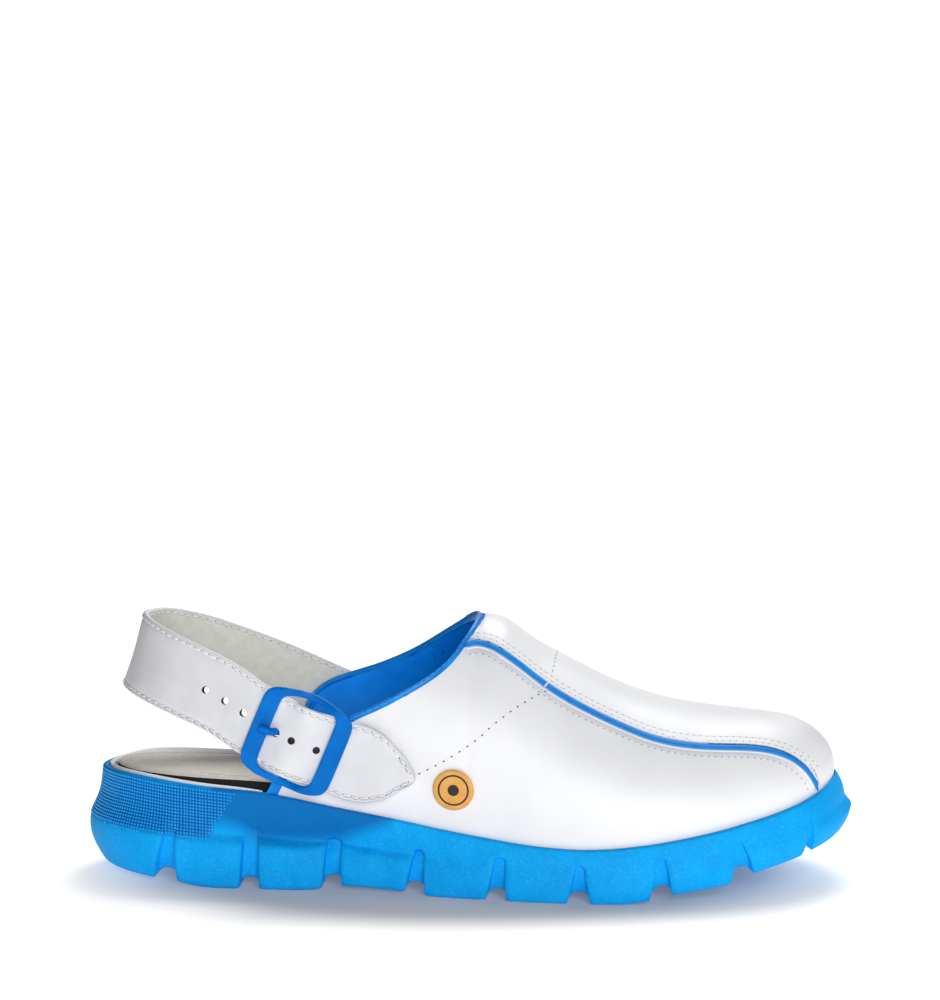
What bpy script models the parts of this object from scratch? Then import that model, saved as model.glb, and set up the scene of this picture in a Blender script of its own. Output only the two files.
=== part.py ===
import math

import bmesh
import bpy
import numpy as np
from mathutils import Vector

for old in list(bpy.data.objects):
    bpy.data.objects.remove(old, do_unlink=True)

# All sizes in millimetres; toe towards +X, lateral side towards -Y, up +Z.
MM = 0.001
SHIFT_X = 0.59           # brings the origin midway along the sole
GAP = 0.3                # play left between neighbouring pieces
WALL = 1.6               # leather and lining of the side panels
RAISE = 1.2              # step up to the centre panel
RIM_PLAY = 0.3           # upper to the inner face of the sole rim
INSOLE_INSET = 3.3       # rim's inner face to the insole edge
LATERAL, MEDIAL = 0, 1
SHARP = math.radians(35)

# Feather line, the inner face of the sole rim.
HEEL_TIP = (-133.0, 0.5)
TOE_TIP = (133.2, 5.0)
FEATHER = [
    # x, lateral y, medial y
    (-124.5, -16.5, 17.0),
    (-112.0, -24.5, 24.5),
    (-95.0, -29.0, 28.5),
    (-70.0, -31.0, 29.0),
    (-45.0, -32.5, 28.5),
    (-20.0, -36.0, 30.5),
    (5.0, -41.0, 35.5),
    (30.0, -45.0, 41.5),
    (55.0, -46.0, 45.5),
    (80.0, -43.0, 45.5),
    (100.0, -36.5, 41.0),
    (117.0, -26.0, 32.5),
    (127.5, -14.0, 22.5),
]

# Heights along the shoe.
RIM = [
    # x, lateral z, medial z
    (-133.0, 38.5, 38.5),
    (-122.0, 39.0, 39.4),
    (-110.0, 38.2, 38.6),
    (-95.0, 36.7, 37.5),
    (-72.0, 35.0, 36.0),
    (-57.0, 32.2, 34.0),
    (-42.0, 29.5, 31.6),
    (-24.0, 26.7, 28.8),
    (-6.0, 23.7, 25.8),
    (11.0, 21.4, 23.2),
    (29.0, 19.4, 20.8),
    (43.0, 19.0, 20.0),
    (57.0, 19.9, 20.4),
    (71.0, 21.8, 22.0),
    (85.0, 24.2, 24.4),
    (99.0, 27.2, 27.3),
    (113.0, 30.3, 30.5),
    (124.0, 33.7, 34.0),
    (133.0, 37.5, 37.5),
]
FLOOR = [
    # x, footbed recess z, ground side z
    (-141.0, 33.2, 4.2),
    (-128.0, 33.0, 3.4),
    (-112.0, 32.7, 2.3),
    (-103.0, 32.5, 1.6),
    (-93.0, 32.1, 0.0),
    (-70.0, 31.0, 0.0),
    (-58.0, 28.6, 0.0),
    (-42.0, 25.6, 2.2),
    (-24.0, 22.4, 1.4),
    (-10.0, 20.0, 0.0),
    (16.0, 16.6, 0.0),
    (40.0, 15.0, 0.0),
    (57.0, 15.4, 0.0),
    (74.0, 17.4, 3.3),
    (92.0, 21.4, 5.8),
    (102.0, 23.8, 9.2),
    (118.0, 27.8, 12.9),
    (124.0, 29.6, 14.9),
    (130.0, 30.9, 16.8),
    (139.5, 31.8, 21.4),
]
INSOLE_TOP = [
    # x, lateral z, medial z
    (-131.0, 40.1, 40.1),
    (-122.0, 40.1, 38.9),
    (-108.0, 39.9, 37.7),
    (-94.0, 39.5, 37.0),
    (-70.0, 38.9, 36.4),
    (-45.0, 33.4, 32.6),
    (-10.0, 25.6, 25.6),
    (40.0, 19.8, 19.8),
    (75.0, 22.2, 22.2),
    (110.0, 30.0, 30.0),
    (131.0, 35.0, 35.0),
]

# Sole side: how far the wall stands out from the feather line.
LEVELS = (1.0, 0.84, 0.68, 0.54, 0.46, 0.30, 0.14, 0.0)
SIDE = [
    # x, stand-out at each level
    (-133.0, 2.0, 2.4, 3.6, 6.2, 7.2, 7.4, 5.2, 2.0),
    (-122.0, 2.0, 2.3, 3.2, 5.6, 6.6, 6.9, 5.6, 2.8),
    (-104.0, 2.0, 2.4, 2.6, 4.2, 5.4, 6.0, 5.4, 3.8),
    (-90.0, 2.0, 2.4, 2.2, 2.0, 4.4, 5.2, 4.9, 3.8),
    (-70.0, 2.0, 2.0, 0.9, -0.6, 3.6, 4.4, 4.3, 3.8),
    (-35.0, 2.0, 1.9, 0.9, 0.2, 3.4, 4.4, 4.4, 3.8),
    (-8.0, 2.0, 2.4, 2.5, 2.6, 3.9, 4.6, 4.6, 4.0),
    (14.0, 2.0, 3.0, 3.8, 4.4, 4.8, 5.2, 4.8, 3.6),
    (60.0, 2.0, 3.2, 4.0, 4.6, 5.0, 5.4, 5.0, 3.6),
    (110.0, 2.0, 3.0, 3.6, 4.4, 4.8, 5.0, 4.4, 2.8),
    (125.0, 1.6, 2.8, 3.6, 4.0, 4.8, 5.4, 5.0, 3.6),
    (133.2, 0.4, 2.2, 3.2, 3.4, 4.2, 6.0, 5.6, 4.0),
]

# Transverse channels between the lugs, with a wedge groove at each end.
GROOVES = [
    # x, top as a share of the wall, depth at top, at foot, half width at foot, at top, lean of the top
    (-106.7, 0.46, 2.2, 3.2, 4.2, 2.0, 2.0),
    (-77.0, 0.46, 3.2, 3.6, 3.7, 2.9, 0.7),
    (-47.2, 0.51, 3.0, 3.6, 3.6, 2.8, 0.6),
    (-16.8, 0.58, 2.6, 3.6, 3.7, 1.9, 1.3),
    (12.1, 0.70, 1.4, 3.4, 3.5, 1.9, 1.5),
    (40.7, 0.68, 1.4, 3.4, 4.0, 1.5, 0.4),
    (68.7, 0.68, 1.4, 3.4, 3.9, 1.6, 0.0),
    (96.6, 0.66, 1.4, 3.2, 4.0, 1.6, -1.6),
    (118.7, 0.60, 1.2, 2.6, 1.8, 0.9, 0.8),
]
GROOVE_PROFILE = [
    # place across the groove as a share of its half width, share of the depth, share of the arch
    (-1.0, 0.0, 0.0),
    (-0.82, 1.0, 0.62),
    (-0.4, 1.0, 1.0),
    (0.4, 1.0, 1.0),
    (0.82, 1.0, 0.62),
    (1.0, 0.0, 0.0),
]
GROOVE_LIP = 0.02        # share of the wall over which a tall groove's roof turns in
CHANNEL_HIGH = 3.7
LUG_STATIONS = (-132.7, -131.7, -129.6, -126.0, -121.2, -116.0, -98.0, -93.0, -85.0, -67.0, -58.0,
                -35.0, -26.0, -10.0, -2.0, 24.0, 32.0, 50.0, 57.0, 80.0, 88.0, 105.0, 112.5,
                123.4, 126.0, 128.4, 130.6, 132.2, 133.0)

# Insole and heel band
INSOLE_STATIONS = (-132.3, -130.0, -125.5, -119.0, -111.0, -100.0, -88.0, -76.0, -64.0, -52.0, -40.0,
                   -25.0, -10.0, 8.0, 26.0, 44.0, 62.0, 78.0, 92.0, 104.0, 113.0, 120.0, 126.0,
                   130.0, 132.3)
INSOLE_CHAMFER = 0.8
BAND_STATIONS = (-72.4, -80.0, -87.0, -94.0, -104.0, -112.0, -118.5, -123.5, -127.5, -130.8, -132.4)
BAND_THICK = 1.3
BAND_PROUD = [
    # x, above the rim on the lateral side, on the medial side
    (-133.0, 0.8, 0.8),
    (-110.0, 0.6, 0.9),
    (-84.0, 0.6, 0.9),
    (-72.4, 0.1, 0.5),
]

# Upper: crown line and the shape of each half section.
CROWN = [
    # x, y, z, lateral flare, medial flare, side handle, crown handle
    (-72.0, 0.0, 116.0, 12.0, 22.0, 0.60, 0.60),
    (-45.0, 0.5, 110.0, 12.0, 22.0, 0.60, 0.62),
    (-20.0, 1.5, 100.5, 10.0, 16.0, 0.60, 0.64),
    (5.2, 2.9, 93.6, 5.5, 9.6, 0.60, 0.62),
    (12.0, 3.2, 92.6, 4.5, 8.0, 0.60, 0.60),
    (20.2, 3.6, 86.3, 4.0, 7.0, 0.60, 0.58),
    (27.5, 4.0, 81.4, 3.5, 6.0, 0.60, 0.57),
    (34.8, 4.4, 77.9, 3.0, 5.0, 0.60, 0.56),
    (49.5, 5.0, 70.1, 2.5, 4.0, 0.60, 0.56),
    (64.1, 5.8, 64.3, 2.0, 3.0, 0.60, 0.58),
    (78.8, 6.6, 60.6, 1.8, 2.5, 0.60, 0.60),
    (97.0, 7.4, 58.4, 1.5, 2.0, 0.60, 0.60),
    (112.2, 7.6, 57.4, 0.5, 0.5, 0.52, 0.50),
]
FAN_START = 60.0         # in front of here the sections fan round the toe
CROWN_END = 112.2
CROWN_END_FALL = -0.1
COLLAR_X = 5.2           # where the collar edge crosses the crown

# Leather edge at the collar, below its binding.
COLLAR_LATERAL = [
    # x, z
    (-68.0, 35.1), (-65.9, 37.6), (-61.0, 42.0), (-55.5, 47.0), (-46.5, 55.8), (-39.7, 61.8),
    (-33.0, 64.6), (-26.0, 68.0), (-19.0, 71.8), (-12.0, 75.8), (-7.0, 79.4), (-3.2, 83.2),
    (-0.7, 86.4), (1.3, 88.9), (3.4, 91.4), (5.2, 93.6),
]
COLLAR_MEDIAL = [
    # x, z
    (-66.4, 36.4), (-65.0, 45.6), (-62.6, 54.0), (-58.5, 59.8), (-51.3, 63.6), (-44.0, 66.1),
    (-36.3, 68.6), (-28.2, 72.2), (-20.3, 76.4), (-12.2, 82.0), (-5.6, 86.8), (-2.4, 89.2),
    (1.6, 91.8), (5.2, 93.6),
]

# Edge of the raised centre panel, from the collar to the toe.
SEAM_FRONT = [
    # x, z, the same on both sides
    (13.9, 84.2), (21.1, 78.6), (28.3, 73.2), (35.4, 69.2), (42.5, 65.4), (49.6, 62.0),
    (56.7, 59.0), (63.7, 56.3), (70.8, 54.4), (77.8, 53.2), (84.9, 52.5), (91.9, 52.1),
    (98.9, 51.7), (106.0, 50.8), (113.1, 48.8), (119.6, 44.8), (123.6, 39.8), (126.8, 31.6),
]
SEAM_LATERAL = [(0.2, 87.6), (2.4, 88.0), (6.4, 87.5), (10.0, 86.4)] + SEAM_FRONT
SEAM_MEDIAL = [(-2.4, 89.2), (2.0, 88.8), (6.4, 87.6), (10.0, 86.4)] + SEAM_FRONT
REAR_LATERAL = (-68.0, -65.9, -61.0, -55.5, -49.0, -43.0, -38.0, -32.0, -26.0, -20.0, -14.0, -9.0,
                -5.0, -2.4, -0.7, 0.8, 3.0)
REAR_MEDIAL = (-66.4, -65.0, -62.6, -58.5, -53.0, -47.0, -41.0, -35.0, -28.2, -22.0, -16.0, -11.0,
               -6.5, -2.4, 0.0, 2.6)
FRONT = (5.2, 8.6, 13.0, 19.0, 25.5, 33.0, 41.0, 49.5, 58.0, 65.0, 72.0, 78.5, 84.5, 90.0, 94.0,
         97.0, 99.4, 101.2, 102.6, 104.0, 105.6, 107.6, 109.8, 112.2)
SIDE_ROWS = 6
PANEL_ROWS = 6
RAISE_FROM, RAISE_OVER = 1.0, 6.0  # height above the rim where the panel's step grows
RAISE_RAMP = 4.0         # run along the collar where it grows

PIPING_START = 0.6       # in front of the collar
PIPING_BACK = (0.4, 2.0)  # upper and lower edge drawn back to the slanting collar
PIPING_CLEAR = 0.5       # lowest end above the rim
PIPING_WIDE = 2.6
PIPING_HIGH = 0.8
BINDING_HALF = 0.9       # along the leather
BINDING_CLEAR = 0.4      # ends above the rim
BINDING_PROUD = 0.8      # past each face of the leather

# Heel strap, from its end on the medial quarter round the heel to its tail.
STRAP_THICK = 2.2
STRAP = [
    # x, y, z, lean, half width up, half width down
    (-24.0, 35.7, 43.4, -6.0, 9.0, 9.0),
    (-26.0, 35.8, 44.0, -6.0, 12.4, 12.4),
    (-29.0, 36.0, 45.0, -6.0, 14.0, 14.0),
    (-42.0, 37.1, 49.8, -5.0, 14.0, 14.0),
    (-54.4, 37.6, 55.0, -3.0, 14.0, 14.0),
    (-71.3, 37.4, 62.6, 2.0, 14.0, 13.6),
    (-89.7, 34.0, 70.4, 7.0, 14.0, 13.0),
    (-107.0, 26.0, 77.0, 11.0, 14.4, 13.0),
    (-118.2, 14.0, 80.2, 15.0, 14.8, 13.2),
    (-122.6, 0.0, 80.8, 17.0, 15.0, 13.4),
    (-118.2, -13.6, 79.8, 15.0, 14.8, 13.2),
    (-105.0, -25.6, 75.6, 11.0, 14.4, 13.0),
    (-86.5, -32.6, 68.6, 6.0, 14.0, 13.0),
    (-74.5, -36.0, 62.0, 2.0, 13.4, 13.4),
    (-70.3, -36.4, 59.7, 0.0, 13.4, 13.4),
    (-60.6, -36.9, 55.2, 0.0, 13.4, 13.4),
    (-51.0, -37.35, 51.4, 0.0, 13.4, 13.4),
    (-46.5, -37.6, 49.8, 0.0, 13.4, 13.4),
    (-38.0, -38.3, 47.4, 1.0, 14.0, 14.0),
    (-33.0, -38.8, 46.2, 1.0, 13.2, 13.5),
    (-28.5, -39.4, 45.2, 1.0, 11.2, 11.6),
    (-24.5, -39.9, 44.4, 1.0, 7.9, 9.8),
    (-21.0, -40.3, 43.1, 1.0, 5.0, 6.3),
    (-18.6, -40.6, 41.9, 1.0, 2.6, 2.9),
    (-17.4, -40.7, 41.3, 1.0, 0.8, 0.8),
]
STRAP_BUMP = 3.25        # rise over the centre bar
STRAP_BUMP_HALF = 9.5
HOLE = 2.7
PRONG_HOLE = 4.2
HOLE_SPOTS = (-92.1, -84.9, -78.1, -60.5, -52.4)
PRONG_HOLE_SPOT = -66.1

# Buckle, in its own plane: along the strap, across it, outwards.
BUCKLE_AT = (-59.1, -39.45, 55.1)
BUCKLE_ALONG = (0.922, -0.045, -0.385)
BUCKLE_QUARTER = [
    # outer along, outer across, inner along, inner across
    (16.9, 0.0, 10.6, 0.0),
    (16.9, 6.5, 10.6, 6.5),
    (16.8, 11.2, 10.6, 10.4),
    (16.1, 13.4, 10.3, 12.3),
    (14.7, 14.8, 9.4, 13.5),
    (12.2, 15.9, 7.6, 14.3),
    (8.4, 16.8, 5.0, 14.8),
    (4.2, 17.3, 2.5, 15.0),
    (0.0, 17.5, 0.0, 15.1),
]
BUCKLE_THICK = 2.2
BAR_DROP = 2.95          # centre bar below the plane of the side bars
DROP_REACH = 8.4         # half of the rail that dips towards the bar
BAR_RADIUS = 1.0
BAR_HALF = 16.2
PRONG_RADIUS = 1.2
PRONG_EYE = (1.3, 2.3, 1.3)  # inner radius, outer radius, half width
PRONG_PATH = [
    # along, outwards
    (-1.9, -3.5),
    (-5.0, -3.8),
    (-7.2, -2.9),
    (-8.2, -1.0),
    (-8.7, 0.7),
    (-9.5, 2.1),
    (-10.9, 2.6),
    (-13.4, 2.6),
]

BADGE_AT = (-3.3, 38.6)
BADGE_RADIUS = 7.3
BADGE_THICK = 1.0


# Interpolation helpers
def unit(v):
    return np.array(v, float) / np.linalg.norm(v)


def slopes(xs, ys):
    step = np.diff(xs)
    rate = np.diff(ys) / step
    out = np.zeros(len(xs))
    out[0], out[-1] = rate[0], rate[-1]
    for i in range(1, len(xs) - 1):
        if rate[i - 1] * rate[i] > 0:
            a, b = 2 * step[i] + step[i - 1], step[i] + 2 * step[i - 1]
            out[i] = (a + b) / (a / rate[i - 1] + b / rate[i])
    return out


def smooth(table, column=1):
    xs = np.array([row[0] for row in table], float)
    ys = np.array([row[column] for row in table], float)
    ms = slopes(xs, ys)

    def value(x):
        x = min(max(x, xs[0]), xs[-1])
        i = min(int(np.searchsorted(xs, x, side="right")) - 1, len(xs) - 2)
        h = xs[i + 1] - xs[i]
        t = (x - xs[i]) / h
        return float((1 + 2 * t) * (1 - t) ** 2 * ys[i] + t * (1 - t) ** 2 * h * ms[i]
                     + t * t * (3 - 2 * t) * ys[i + 1] + t * t * (t - 1) * h * ms[i + 1])
    return value


def closed_curve(points, per_span=60):
    pts = np.array(points, float)
    count = len(pts)
    chord = np.linalg.norm(np.roll(pts, -1, axis=0) - pts, axis=1)
    tangents = np.zeros_like(pts)
    for i in range(count):
        before, after = chord[i - 1], chord[i]
        back = (pts[i] - pts[i - 1]) / before
        ahead = (pts[(i + 1) % count] - pts[i]) / after
        tangents[i] = (back * after + ahead * before) / (before + after)
    out = []
    for i in range(count):
        j = (i + 1) % count
        for k in range(per_span):
            t = k / per_span
            out.append((1 + 2 * t) * (1 - t) ** 2 * pts[i] + t * (1 - t) ** 2 * chord[i] * tangents[i]
                       + t * t * (3 - 2 * t) * pts[j] + t * t * (t - 1) * chord[i] * tangents[j])
    return np.array(out)


# Feather line as two halves, each running from heel tip to toe tip.
LOOP = closed_curve([HEEL_TIP] + [(x, a) for x, a, _ in FEATHER]
                    + [TOE_TIP] + [(x, b) for x, _, b in reversed(FEATHER)])
AHEAD = np.roll(LOOP, -1, axis=0) - np.roll(LOOP, 1, axis=0)
AHEAD /= np.linalg.norm(AHEAD, axis=1)[:, None]
ALL = np.column_stack([LOOP, AHEAD[:, 1], -AHEAD[:, 0]])
ALL = np.roll(ALL, -int(np.argmin(ALL[:, 0])), axis=0)
TURN = int(np.argmax(ALL[:, 0]))
HALVES = (ALL[:TURN + 1], np.vstack([ALL[TURN:], ALL[:1]])[::-1])
X_MIN, X_MAX = float(ALL[0, 0]), float(ALL[TURN, 0])


def edge(side, x):
    half = HALVES[side]
    return [float(np.interp(x, half[:, 0], half[:, i])) for i in range(4)]


rim = (smooth(RIM, 1), smooth(RIM, 2))
floor_z = smooth(FLOOR, 1)
ground_z = smooth(FLOOR, 2)
insole_top = (smooth(INSOLE_TOP, 1), smooth(INSOLE_TOP, 2))
stand_out = [smooth(SIDE, i + 1) for i in range(len(LEVELS))]
band_proud = (smooth(BAND_PROUD, 1), smooth(BAND_PROUD, 2))


# Mesh helpers
def finish(name, verts, faces, skin):
    mesh = bpy.data.meshes.new(name)
    mesh.from_pydata([((x + SHIFT_X) * MM, y * MM, z * MM) for x, y, z in verts], [], faces)
    obj = bpy.data.objects.new(name, mesh)
    bpy.context.scene.collection.objects.link(obj)
    work = bmesh.new()
    work.from_mesh(mesh)
    bmesh.ops.remove_doubles(work, verts=work.verts, dist=0.00002)
    bmesh.ops.dissolve_degenerate(work, edges=work.edges, dist=0.00001)
    bmesh.ops.triangulate(work, faces=work.faces)
    bmesh.ops.recalc_face_normals(work, faces=work.faces)
    work.to_mesh(mesh)
    work.free()
    mesh.shade_smooth()
    mesh.set_sharp_from_angle(angle=SHARP)
    mesh.materials.append(skin)
    return obj


def material(name, colour, roughness):
    made = bpy.data.materials.new(name)
    made.use_nodes = True
    shader = made.node_tree.nodes["Principled BSDF"]
    shader.inputs["Base Color"].default_value = (*colour, 1.0)
    shader.inputs["Roughness"].default_value = roughness
    return made


def grid_faces(start, rows, columns, closed=False):
    faces = []
    for k in range(columns if closed else columns - 1):
        j = (k + 1) % columns
        for i in range(rows - 1):
            faces.append((start + k * rows + i, start + j * rows + i,
                          start + j * rows + i + 1, start + k * rows + i + 1))
    return faces


def cross_faces(starts, rows, columns):
    faces = []
    for row in (0, rows - 1):
        for k in range(columns - 1):
            a, b = starts[LATERAL] + k * rows + row, starts[MEDIAL] + k * rows + row
            faces.append((a, a + rows, b + rows, b))
    return faces


def sweep(name, rings, skin, closed=False):
    size, count = len(rings[0]), len(rings)
    verts = [p for ring in rings for p in ring]
    faces = []
    for k in range(count if closed else count - 1):
        j = (k + 1) % count
        for i in range(size):
            n = (i + 1) % size
            faces.append((k * size + i, j * size + i, j * size + n, k * size + n))
    if not closed:
        faces.append(tuple(range(size)))
        faces.append(tuple(range((count - 1) * size, count * size)))
    return finish(name, verts, faces, skin)


# Sole
def sole_column(side, places, shares, depths, arch):
    points = []
    x, y, nx, ny = edge(side, places[0])
    points.append((x, y, floor_z(x)))
    points.append((x, y, rim[side](x)))
    for place, share, depth in zip(places, shares, depths):
        x, y, nx, ny = edge(side, place)
        out = np.interp(share, LEVELS[::-1], [f(place) for f in stand_out][::-1]) - depth
        low = ground_z(x + nx * out) + arch
        points.append((x + nx * out, y + ny * out, low + share * (rim[side](x) - low)))
    return points


def sole_stations():
    count = len(LEVELS)
    stations = [(x, [x] * count, LEVELS, [0.0] * count, 0.0) for x in (X_MIN,) + LUG_STATIONS + (X_MAX,)]
    for centre, top, shallow, deep, foot_half, top_half, lean in GROOVES:
        low = top < LEVELS[3]
        tall = LEVELS[:2] + (top, top - GROOVE_LIP) + LEVELS[4:]
        shares = LEVELS[:4] + (top,) + LEVELS[5:] if low else tall
        first = 4 if low else 3
        widen = [max(0.0, 1 - share / top) for share in shares]
        middles = [centre + lean * (1 - w) for w in widen]
        spread = [top_half + (foot_half - top_half) * w for w in widen]
        cut = [0.0] * first + [shallow + (deep - shallow) * w for w in widen[first:]]
        for across, inside, arch in GROOVE_PROFILE:
            places = [middle + across * half for middle, half in zip(middles, spread)]
            depths = [d * inside for d in cut]
            stations.append((places[-1], places, shares, depths, arch * CHANNEL_HIGH))
    return sorted(stations, key=lambda s: s[0])


def make_sole(skin):
    stations = sole_stations()
    rows = len(LEVELS) + 2
    verts, faces, starts = [], [], []
    for side in (LATERAL, MEDIAL):
        starts.append(len(verts))
        for _, places, shares, depths, arch in stations:
            verts += sole_column(side, places, shares, depths, arch)
        faces += grid_faces(starts[side], rows, len(stations))
    return finish("sole", verts, faces + cross_faces(starts, rows, len(stations)), skin)


# Insole and the band round the heel
def inset(side, x, amount, z):
    ex, ey, nx, ny = edge(side, x)
    return (ex - nx * amount, ey - ny * amount, z)


def make_insole(skin):
    stations = (X_MIN,) + INSOLE_STATIONS + (X_MAX,)
    verts, faces, starts, rows = [], [], [], 3
    for side in (LATERAL, MEDIAL):
        starts.append(len(verts))
        for x in stations:
            top = insole_top[side](x)
            verts += [inset(side, x, INSOLE_INSET, floor_z(x) + GAP),
                      inset(side, x, INSOLE_INSET, top - INSOLE_CHAMFER),
                      inset(side, x, INSOLE_INSET + INSOLE_CHAMFER, top)]
        faces += grid_faces(starts[side], rows, len(stations))
    return finish("insole", verts, faces + cross_faces(starts, rows, len(stations)), skin)


def make_heel_band(skin):
    path = [(LATERAL, x) for x in BAND_STATIONS] + [(LATERAL, X_MIN)]
    path += [(MEDIAL, x) for x in reversed(BAND_STATIONS)]
    far = RIM_PLAY + BAND_THICK
    rings = []
    for side, x in path:
        low, high = floor_z(x) + GAP, rim[side](x) + band_proud[side](x)
        rings.append([inset(side, x, RIM_PLAY, low), inset(side, x, RIM_PLAY, high),
                      inset(side, x, far, high), inset(side, x, far, low)])
    return sweep("heel_band", rings, skin)


# Upper
crown = [None] + [smooth(CROWN, i) for i in range(1, 7)]
seam = (smooth(SEAM_LATERAL), smooth(SEAM_MEDIAL))
SEAM_ENDS = ((SEAM_LATERAL[0][0], SEAM_LATERAL[-1][0]), (SEAM_MEDIAL[0][0], SEAM_MEDIAL[-1][0]))
collar = (smooth(COLLAR_LATERAL), smooth(COLLAR_MEDIAL))


def fan_path(side):
    half = HALVES[side]
    front = half[half[:, 0] >= FAN_START]
    run = np.concatenate([[0.0], np.cumsum(np.linalg.norm(np.diff(front[:, :2], axis=0), axis=1))])
    return front, run


FANS = (fan_path(LATERAL), fan_path(MEDIAL))


def foot_of(side, a):
    if a <= FAN_START:
        return edge(side, a)
    front, run = FANS[side]
    span = CROWN_END - FAN_START
    part = a - FAN_START
    reach = part + (run[-1] - span) * (part / span) ** 2
    return [float(np.interp(reach, run, front[:, i])) for i in range(4)]


def crown_fall(a):
    if a >= CROWN_END - 1.0:
        return CROWN_END_FALL
    return (crown[2](a + 1.0) - crown[2](a - 1.0)) / 2.0


def surface(side, a, v):
    x, y, nx, ny = foot_of(side, a)
    x, y = x - nx * RIM_PLAY, y - ny * RIM_PLAY
    foot = np.array((x, y, rim[side](x) + 0.2))
    top = np.array((a, crown[1](a), crown[2](a)))
    high = top[2] - foot[2]
    flare = crown[3 + side](a)
    low_handle = foot + np.array((nx * flare, ny * flare, crown[5](a) * high))
    lean = crown[6](a) * (foot - top)
    high_handle = top + np.array((lean[0], lean[1], crown_fall(a) * lean[0]))
    u = 1.0 - v
    return (u ** 3 * foot + 3 * u * u * v * low_handle + 3 * u * v * v * high_handle + v ** 3 * top)


def normal(side, a, v):
    if v > 0.999:
        return unit((-crown_fall(a), 0.0, 1.0))
    da = 0.05
    along = surface(side, min(a + da, CROWN_END), v) - surface(side, a - da, v)
    if a >= CROWN_END:
        along = surface(MEDIAL, a - 0.4, v) - surface(LATERAL, a - 0.4, v)
        along *= -1 if side == MEDIAL else 1
    up = surface(side, a, v + 0.001) - surface(side, a, max(v - 0.001, 0.0))
    n = np.cross(along, up)
    return unit(n if side == LATERAL else -n)


def solve(side, a, target):
    low, high = 0.0, 1.0
    for _ in range(40):
        mid = (low + high) / 2
        point = surface(side, a, mid)
        if point[2] < target(point[0]):
            low = mid
        else:
            high = mid
    return (low + high) / 2


def top_of(side, a):
    return 1.0 if a >= COLLAR_X else solve(side, a, collar[side])


def seam_of(side, a):
    if a <= SEAM_ENDS[side][0]:
        return top_of(side, a)
    return min(solve(side, a, seam[side]), top_of(side, a))


def columns_of(side):
    return (REAR_LATERAL, REAR_MEDIAL)[side] + FRONT


def raise_of(side, a, v, start):
    above = surface(side, a, v)[2] - rim[side](foot_of(side, a)[0])
    grow = min(max((above - RAISE_FROM) / RAISE_OVER, 0.0), 1.0)
    begin = min(max((a - start) / RAISE_RAMP, 0.0), 1.0)
    return RAISE * grow * grow * (3 - 2 * grow) * begin


def upper_column(side, a):
    split, top = seam_of(side, a), top_of(side, a)
    params = [(split * i / SIDE_ROWS, 0) for i in range(SIDE_ROWS + 1)]
    params += [(split + (top - split) * i / PANEL_ROWS, 1) for i in range(PANEL_ROWS + 1)]
    outer, inner = [], []
    for v, panel in params:
        point, n = surface(side, a, v), normal(side, a, v)
        lift = raise_of(side, a, v, SEAM_ENDS[side][0]) if panel else 0.0
        outer.append(point + n * lift)
        inner.append(point - n * WALL)
    base, under = outer[0].copy(), inner[0].copy()
    base[2], under[2] = floor_z(base[0]) + GAP, floor_z(under[0]) + GAP
    return [base] + outer, [under] + inner


def make_upper(skin):
    verts, faces = [], []
    rows = SIDE_ROWS + PANEL_ROWS + 3
    for side in (LATERAL, MEDIAL):
        stations = columns_of(side)
        sets = [upper_column(side, a) for a in stations]
        count = len(stations)
        out_at = len(verts)
        verts += [p for outer, _ in sets for p in outer]
        in_at = len(verts)
        verts += [p for _, inner in sets for p in inner]
        faces += grid_faces(out_at, rows, count) + grid_faces(in_at, rows, count)
        for k in range(count - 1):
            faces.append((out_at + k * rows, out_at + (k + 1) * rows,
                          in_at + (k + 1) * rows, in_at + k * rows))
            if stations[k] < COLLAR_X:
                a, b = out_at + k * rows + rows - 1, in_at + k * rows + rows - 1
                faces.append((a, a + rows, b + rows, b))
        for i in range(rows - 1):
            faces.append((out_at + i, out_at + i + 1, in_at + i + 1, in_at + i))
    return finish("upper", verts, faces, skin)


# Piping along the foot of the centre panel's edge
def piping_edges(side, a):
    split = seam_of(side, a)
    grain = np.linalg.norm(surface(side, a, split + 0.01) - surface(side, a, split)) / 0.01
    return split - GAP / grain, split - (GAP + PIPING_WIDE) / grain


def piping_clears(side, a):
    far = piping_edges(side, a)[1]
    return far >= 0.0 and surface(side, a, far)[2] >= rim[side](foot_of(side, a)[0]) + PIPING_CLEAR


def piping_spots(side):
    spots = []
    for a in columns_of(side):
        if a < SEAM_ENDS[side][0] + PIPING_START:
            continue
        if piping_clears(side, a):
            spots.append(a)
            continue
        good, bad = spots[-1], a
        for _ in range(20):
            middle = (good + bad) / 2
            good, bad = (middle, bad) if piping_clears(side, middle) else (good, middle)
        return spots + [good]
    return spots


def make_piping(name, side, skin):
    rings = []
    for a in piping_spots(side):
        near, far = piping_edges(side, a)
        ring = []
        for v, lift in ((near, GAP), (near, GAP + PIPING_HIGH), (far, GAP + PIPING_HIGH), (far, GAP)):
            ring.append(surface(side, a, v) + normal(side, a, v) * lift)
        rings.append(ring)
    upper, lower = PIPING_BACK
    backs = (upper, upper, lower, lower)
    first = [p + unit(p - q) * back for p, q, back in zip(rings[0], rings[1], backs)]
    return sweep(name, [first] + rings, skin)


# Binding rolled along the collar edge
def level_end(ring, along, z):
    return [p - along * (p[2] - z) / along[2] for p in ring]


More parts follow.
